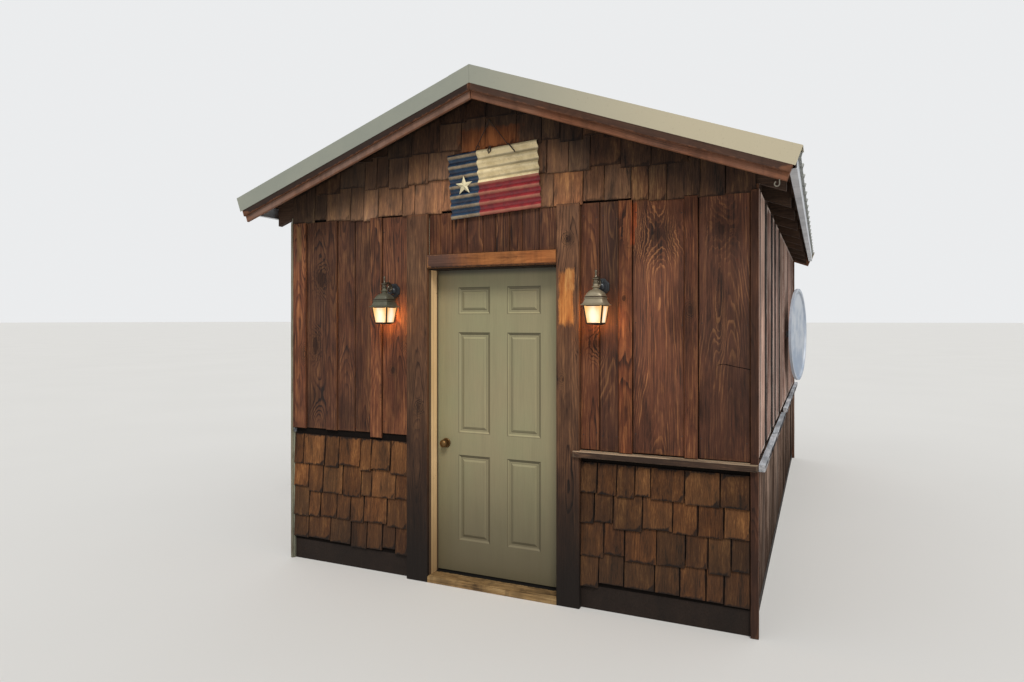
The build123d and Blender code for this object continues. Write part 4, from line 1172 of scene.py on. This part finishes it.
for side, across in (("left", -lantern_across), ("right", lantern_across)):
    wall = Vector((across, front, lantern_z))
    axis = Matrix.Translation(wall + forward * lantern_out)
    cage = Skins()
    cage.add(stack(cap), axis)
    cage.build(f"lantern_cage_metal_{side}", "lantern_bronze", [f"lantern_cage_{side}"])
    slim = Skins()
    for rings in (foot, *bands):
        slim.add(stack(rings), axis)
    for sx in (-1, 1):
        for sy in (-1, 1):
            low = Vector((sx * 0.0432, sy * 0.0432, -0.2124))
            high = Vector((sx * 0.0568, sy * 0.0568, -0.1120))
            slim.add(tube([low, low.lerp(high, 0.5), high], 0.0055, 8), axis)
    slim.build(f"lantern_corner_bars_{side}", "dark_bronze")

    mount = Skins()
    mount.add(stack(plate, 2, 8, pi / 8), facing_front(*wall))
    mount.add(stack(boss), facing_front(*wall))
    mount.build(f"lantern_mount_metal_{side}", "shaded_bronze", [f"lantern_mount_{side}"])
    arms = Skins()
    arms.add(stack(finial), axis)
    arms.add(tube([wall + Vector((0, y, z)) for y, z in bend],
                  [0.0085, 0.0082, 0.0078, 0.0074, 0.0070, 0.0067, 0.0065, 0.0065]))
    curl = []
    for index in range(22):
        turn, reach = index / 21 * 2.6 * pi, 0.024 - 0.017 * index / 21
        curl.append(wall + Vector((0, -0.045 - reach * sin(turn), 0.014 + reach * cos(turn))))
    arms.add(tube(curl, [0.0056 - 0.0020 * index / 21 for index in range(22)], 8))
    arms.build(f"lantern_arm_metal_{side}", "arm_bronze")

# %% [markdown]
# The knob is turned brass, worn smooth by hands. It passes through the door to its twin inside,
# and both turn together. It rides on its own body, so it turns in its roses and swings with the
# leaf.

# %% Knob
half_knob = [(0.0225, 0.0108), (0.0330, 0.0108), (0.0365, 0.0100), (0.0400, 0.0112)]
for index in range(15):
    turn = radians(-55 + 140 * index / 14)
    half_knob.append((0.0660 + 0.0178 * sin(turn), 0.0268 * cos(turn)))
half_knob.append((0.0836, 0.0012))
whole = [(-height, half) for height, half in reversed(half_knob)] + half_knob
knob = Skins()
knob.add(stack(whole, 2, 48), facing_front(-0.390, -2.603, 0.910))
knob.build("turned_knob", "aged_brass", ["door_knob"], "knob")

# %% [markdown]
# The picture over the door is a piece of corrugated tin painted as the old lone-star flag: blue
# by the star, pale over red beside it. Rain has worn the paint off every crest, so each colour is
# striped with bare brown metal, faded pink on the red. The bands sit a little below each crest,
# on the slope that faces up, so they are partly painted highlight, and the troughs get painted
# shade. The place on the sheet and the height of the wave are kept on the mesh, and the paint
# reads them. Painting it from an image would fix its wear for ever; these masks keep the wear on
# the crests.

# %% Painted tin finish
graph, here = new_material("painted_tin")
sheet_x, sheet_z, crest = graph.split(graph.attribute("sheet"))
blotch = graph.noise(here, (18, 18, 18), 4.0, 0.65)
uneven = graph.step(blotch, 0.4, 0.65)
lower = graph.math("LESS_THAN", sheet_z, 0.5)
wobble = graph.noise(here, (40, 40, 40)) * 0.012 + sheet_x
by_star = graph.math("LESS_THAN", wobble, 0.339)
fly = graph.mix(lower, graph.mix(uneven, "f6e2b4", "e0cb9b"),
                graph.mix(uneven, "942a2e", "762328"))
coat = graph.mix(by_star, fly, graph.mix(uneven, "213e58", "182c40"))
scratches = graph.noise(here, (26, 26, 150), 4.0, 0.7)
share = lower * 0.55 + 0.25
share = (0.72 - share) * by_star + share
# worn paint on the crests: partly wear, partly painted highlight on the slope that faces up
crest_wear_and_highlight = graph.step(scratches * 0.9 + crest, 0.75, 1.50) * share
faded = (1.0 - by_star) * lower
# the crest colour: bare metal, and on the red a pale faded pink that also serves as painted
# highlight
crest_colour = graph.mix(graph.step(blotch, 0.4, 0.6), "b8a078", "9a8160")
crest_colour = graph.mix(faded, crest_colour, graph.mix(blotch, "bd8467", "9c5f4c"))
# painted shade in the troughs of the waves
trough_shade = graph.step(crest, -0.35, -1.0) * 0.55
shade = graph.mix(crest_wear_and_highlight, coat, crest_colour)
shade = graph.mix(trough_shade, shade, graph.mix(faded, "2a1710", "4a1519"))
rust = graph.step(graph.noise(here, (60, 60, 60), 3.0, 0.7), 0.64, 0.72)
shade = graph.mix(rust * 0.6, shade, "5a3422")
graph.surface(shade, graph.step(crest_wear_and_highlight, 0, 1, 0.42, 0.58), scratches, 0.25, 0.001,
              Metallic=crest_wear_and_highlight * 0.25)
print("finishes", len(finishes))

# %% The tin sheet and its star
tilt = Matrix.Rotation(radians(-4), 4, "Y")
hang = Matrix.Translation((0.028, front - 0.0202, 2.63)) @ tilt
columns, rows = 56, 117
sheet_wide, sheet_high, wave_half = 0.631, 0.4225, 0.0325
points, faces, values = [], [], []
for back in (0, 1):
    for row in range(rows + 1):
        high = sheet_high * row / rows
        z = high - sheet_high / 2
        for column in range(columns + 1):
            x = sheet_wide * (column / columns - 0.5)
            wave = -sin(pi * high / wave_half)
            dent = 0.0012 * noise.noise(Vector((x * 9, z * 14, 3.0)))
            crimp = max(0.0, abs(x) - 0.29) * 0.05 * noise.noise(Vector((z * 60, x, 8.0)))
            points.append(hang @ Vector((x + crimp, 0.0107 * wave + dent + 0.0011 * back, z)))
            # the third value peaks a little below each crest, on the slope that faces up and
            # catches the light
            values.append((column / columns, row / rows, sin(pi * high / wave_half + 0.55)))
width = columns + 1
layer = width * (rows + 1)
for row in range(rows):
    for column in range(columns):
        a = row * width + column
        faces.append((a, a + 1, a + width + 1, a + width))
        faces.append((a + layer, a + width + layer, a + width + 1 + layer, a + 1 + layer))
rim = list(range(width)) + [r * width + columns for r in range(1, rows + 1)]
rim += [rows * width + c for c in reversed(range(columns))]
rim += [r * width for r in reversed(range(1, rows))]
for a, b in zip(rim, rim[1:] + rim[:1]):
    faces.append((b, a, a + layer, b + layer))
mesh = new_mesh("painted_tin_sheet", points, faces)
store(mesh, "sheet", values)
place_piece("painted_tin_sheet", mesh, "painted_tin", ["tin_flag"], angle=50)

points = [Vector((0, -0.0068, 0))]
for index in range(10):
    reach = 0.0636 if index % 2 == 0 else 0.0246
    angle = pi / 2 + index * pi / 5
    points.append(Vector((reach * cos(angle), 0, reach * sin(angle))))
points += [point + Vector((0, 0.0028, 0)) for point in points[1:]]
faces = []
for index in range(10):
    a, b = 1 + index, 1 + (index + 1) % 10
    faces += [(0, b, a), (a, b, b + 10, a + 10)]
faces.append(tuple(range(11, 21)))
star_place = Matrix.Translation((-0.175, front - 0.0342, 2.612)) @ tilt
mesh = new_mesh("raised_star", [star_place @ point for point in points], faces)
place_piece("raised_star", mesh, "star_paint", ["flag_star"], angle=5)

# %% [markdown]
# The wire that carries the picture goes through two holes by its top edge, and its ends are
# twisted back over the paint. They are thin and dark, and against the pale stripe they show.

# %% Twisted wire ends
twists = Skins()
for radius, *path in (
        (0.0030, (-0.086, 2.844), (-0.081, 2.857), (-0.070, 2.860), (-0.063, 2.850),
         (-0.071, 2.842)),
        (0.0036, (0.010, 2.848), (-0.003, 2.822), (0.004, 2.804), (0.016, 2.818), (0.014, 2.851)),
        (0.0042, (0.139, 2.853), (0.152, 2.838), (0.168, 2.819), (0.186, 2.797))):
    bends = [Vector((x, front - 0.0345, z)) for x, z in path]
    smooth = [begin.lerp(end, share / 4) for begin, end in zip(bends, bends[1:])
              for share in range(4)] + [bends[-1]]
    twists.add(tube([point + Vector((0, 0.001 * sin(index * 1.9), 0.001 * cos(index * 1.9)))
                     for index, point in enumerate(smooth)], radius, 8))
twists.build("twisted_wire_ends", "hanging_wire")

# %% [markdown]
# Roof sheets are held by screws with a washer, beside each rib and in straight rows. They are
# tiny, but a ribbed roof without them looks like paper. Each is one small stacked form, set on
# the slope it holds.

# %% Roof screws
screws = Skins()
head = stack([(0.0, 0.0085), (0.0012, 0.0085), (0.0018, 0.005), (0.0056, 0.0048),
              (0.0062, 0.0038)], 2, 6)
for sign in (-1, 1):
    down, out = slope_ways(sign)
    for rib in range(19):
        ridge = Vector((0, -2.89275 + rib * 0.3045 + 0.046, soffit_ridge))
        for run in (0.24, 0.58, 0.92, 1.26, 1.60, 1.82):
            spot = Matrix.Translation(ridge + out * 0.1617 + down * run)
            screws.add(head, spot @ Matrix.Rotation(sign * pitch, 4, "Y"))
screws.build("roof_screws", "galvanised")

# %% [markdown]
# Frame parts whose shape is already right only need their finish. The walls inside, the door and
# its frame, the rafters and the roof metal stay as they are.

# %% Finishes on frame parts
finish_nodes = {
    # door_head, a cream jamb head, takes the dark treated timber as painted shade
    "treated_timber": "base_beams door_head", "floor_boards": "floor_deck",
    "corner_timber": "corner_boards", "cream_paint": "door_jamb_left door_jamb_right",
    "sill_timber": "door_sill", "casing_timber": "door_casing_left door_casing_right",
    "header_timber": "door_header_board", "green_paint": "door_leaf",
    "aged_brass": "door_knob knob_roses",
    "hinge_steel": "hinge_frame_halves hinge_leaf_halves screw_hook", "roof_timber": "rafters",
    "blocking_timber": "eave_blocking ridge_board", "roof_boards": "roof_deck",
    "roof_metal": "roof_panel_left roof_panel_right ridge_cap", "rake_metal": "rake_trims",
    "barge_timber": "barge_boards", "galvanised": "eave_trim_left eave_trim_right disc_bracket",
    "lantern_bronze": "lantern_mount_left lantern_mount_right lantern_cage_left "
                      "lantern_cage_right",
    "lit_glass": "lantern_glass_left lantern_glass_right", "painted_tin": "tin_flag",
    "star_paint": "flag_star", "hanging_wire": "flag_hanger", "disc_metal": "round_disc",
    "ledge_timber": "back_ledge front_ledge", "weathered_ledge": "side_ledges",
}
node_finish = {name: finish for finish, names in finish_nodes.items() for name in names.split()}
for name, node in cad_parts.items():
    for slot in node.material_slots:
        slot.material = finishes[node_finish.get(name, "framed_wall")]
print("frame parts dressed", len(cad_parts))

# %% [markdown]
# The light is a plain studio: an even pale surround and one large soft lamp from the front right,
# high enough to put the boards under the eaves in shade. The warm lamps in the lanterns are weak
# and only colour the wood beside them.

# %% Floor, surround and lamps
graph, here = new_material("pale_floor")
graph.surface(graph.mix(graph.noise(here, (0.4, 0.4, 0.4)), "dcdad6", "e2e0dc"), 0.9)
far = 500
mesh = new_mesh("pale_floor", [(-far, -far, -0.001), (far, -far, -0.001), (far, far, -0.001),
                               (-far, far, -0.001)], [(0, 1, 2, 3)])
mesh.materials.append(finishes["pale_floor"])
ground = bpy.data.objects.new("pale_floor", mesh)
bpy.context.collection.objects.link(ground)

world = bpy.data.worlds.new("surround")
bpy.context.scene.world = world
world.use_nodes = True
world.node_tree.nodes.clear()
graph = Graph(world.node_tree)
path = graph.node("ShaderNodeLightPath")
seen = graph.math("MAXIMUM", path["Is Camera Ray"], path["Is Glossy Ray"])
seen = graph.math("MAXIMUM", seen, path["Is Transmission Ray"])
lighting = graph.node("ShaderNodeBackground", {"Color": (0.92, 0.96, 1.0, 1), "Strength": 0.56})
backdrop = graph.node("ShaderNodeBackground", {"Color": (0.83, 0.84, 0.85, 1), "Strength": 1.0})
mixed = graph.node("ShaderNodeMixShader", {0: seen, 1: lighting[0], 2: backdrop[0]})
graph.node("ShaderNodeOutputWorld", {"Surface": mixed[0]})


def lamp(name, kind, place, energy, tint, **settings):
    """Adds one lamp."""
    data = bpy.data.lights.new(name, kind)
    for key, value in dict(settings, energy=energy, color=tint).items():
        setattr(data, key, value)
    item = bpy.data.objects.new(name, data)
    item.location = place
    bpy.context.collection.objects.link(item)
    return item


key = lamp("key", "SUN", (-4, -8, 6), 2.0, (1.0, 0.97, 0.93), angle=radians(18))
key.rotation_euler = Vector((0.50, -1.0, 1.15)).to_track_quat("Z", "Y").to_euler()
for side in (-lantern_across, lantern_across):
    lamp("lantern_lamp", "POINT", (side, -2.812, 1.750), 5.2, (1.0, 0.47, 0.13),
         shadow_soft_size=0.03)
print("lamps", len(bpy.data.lights))
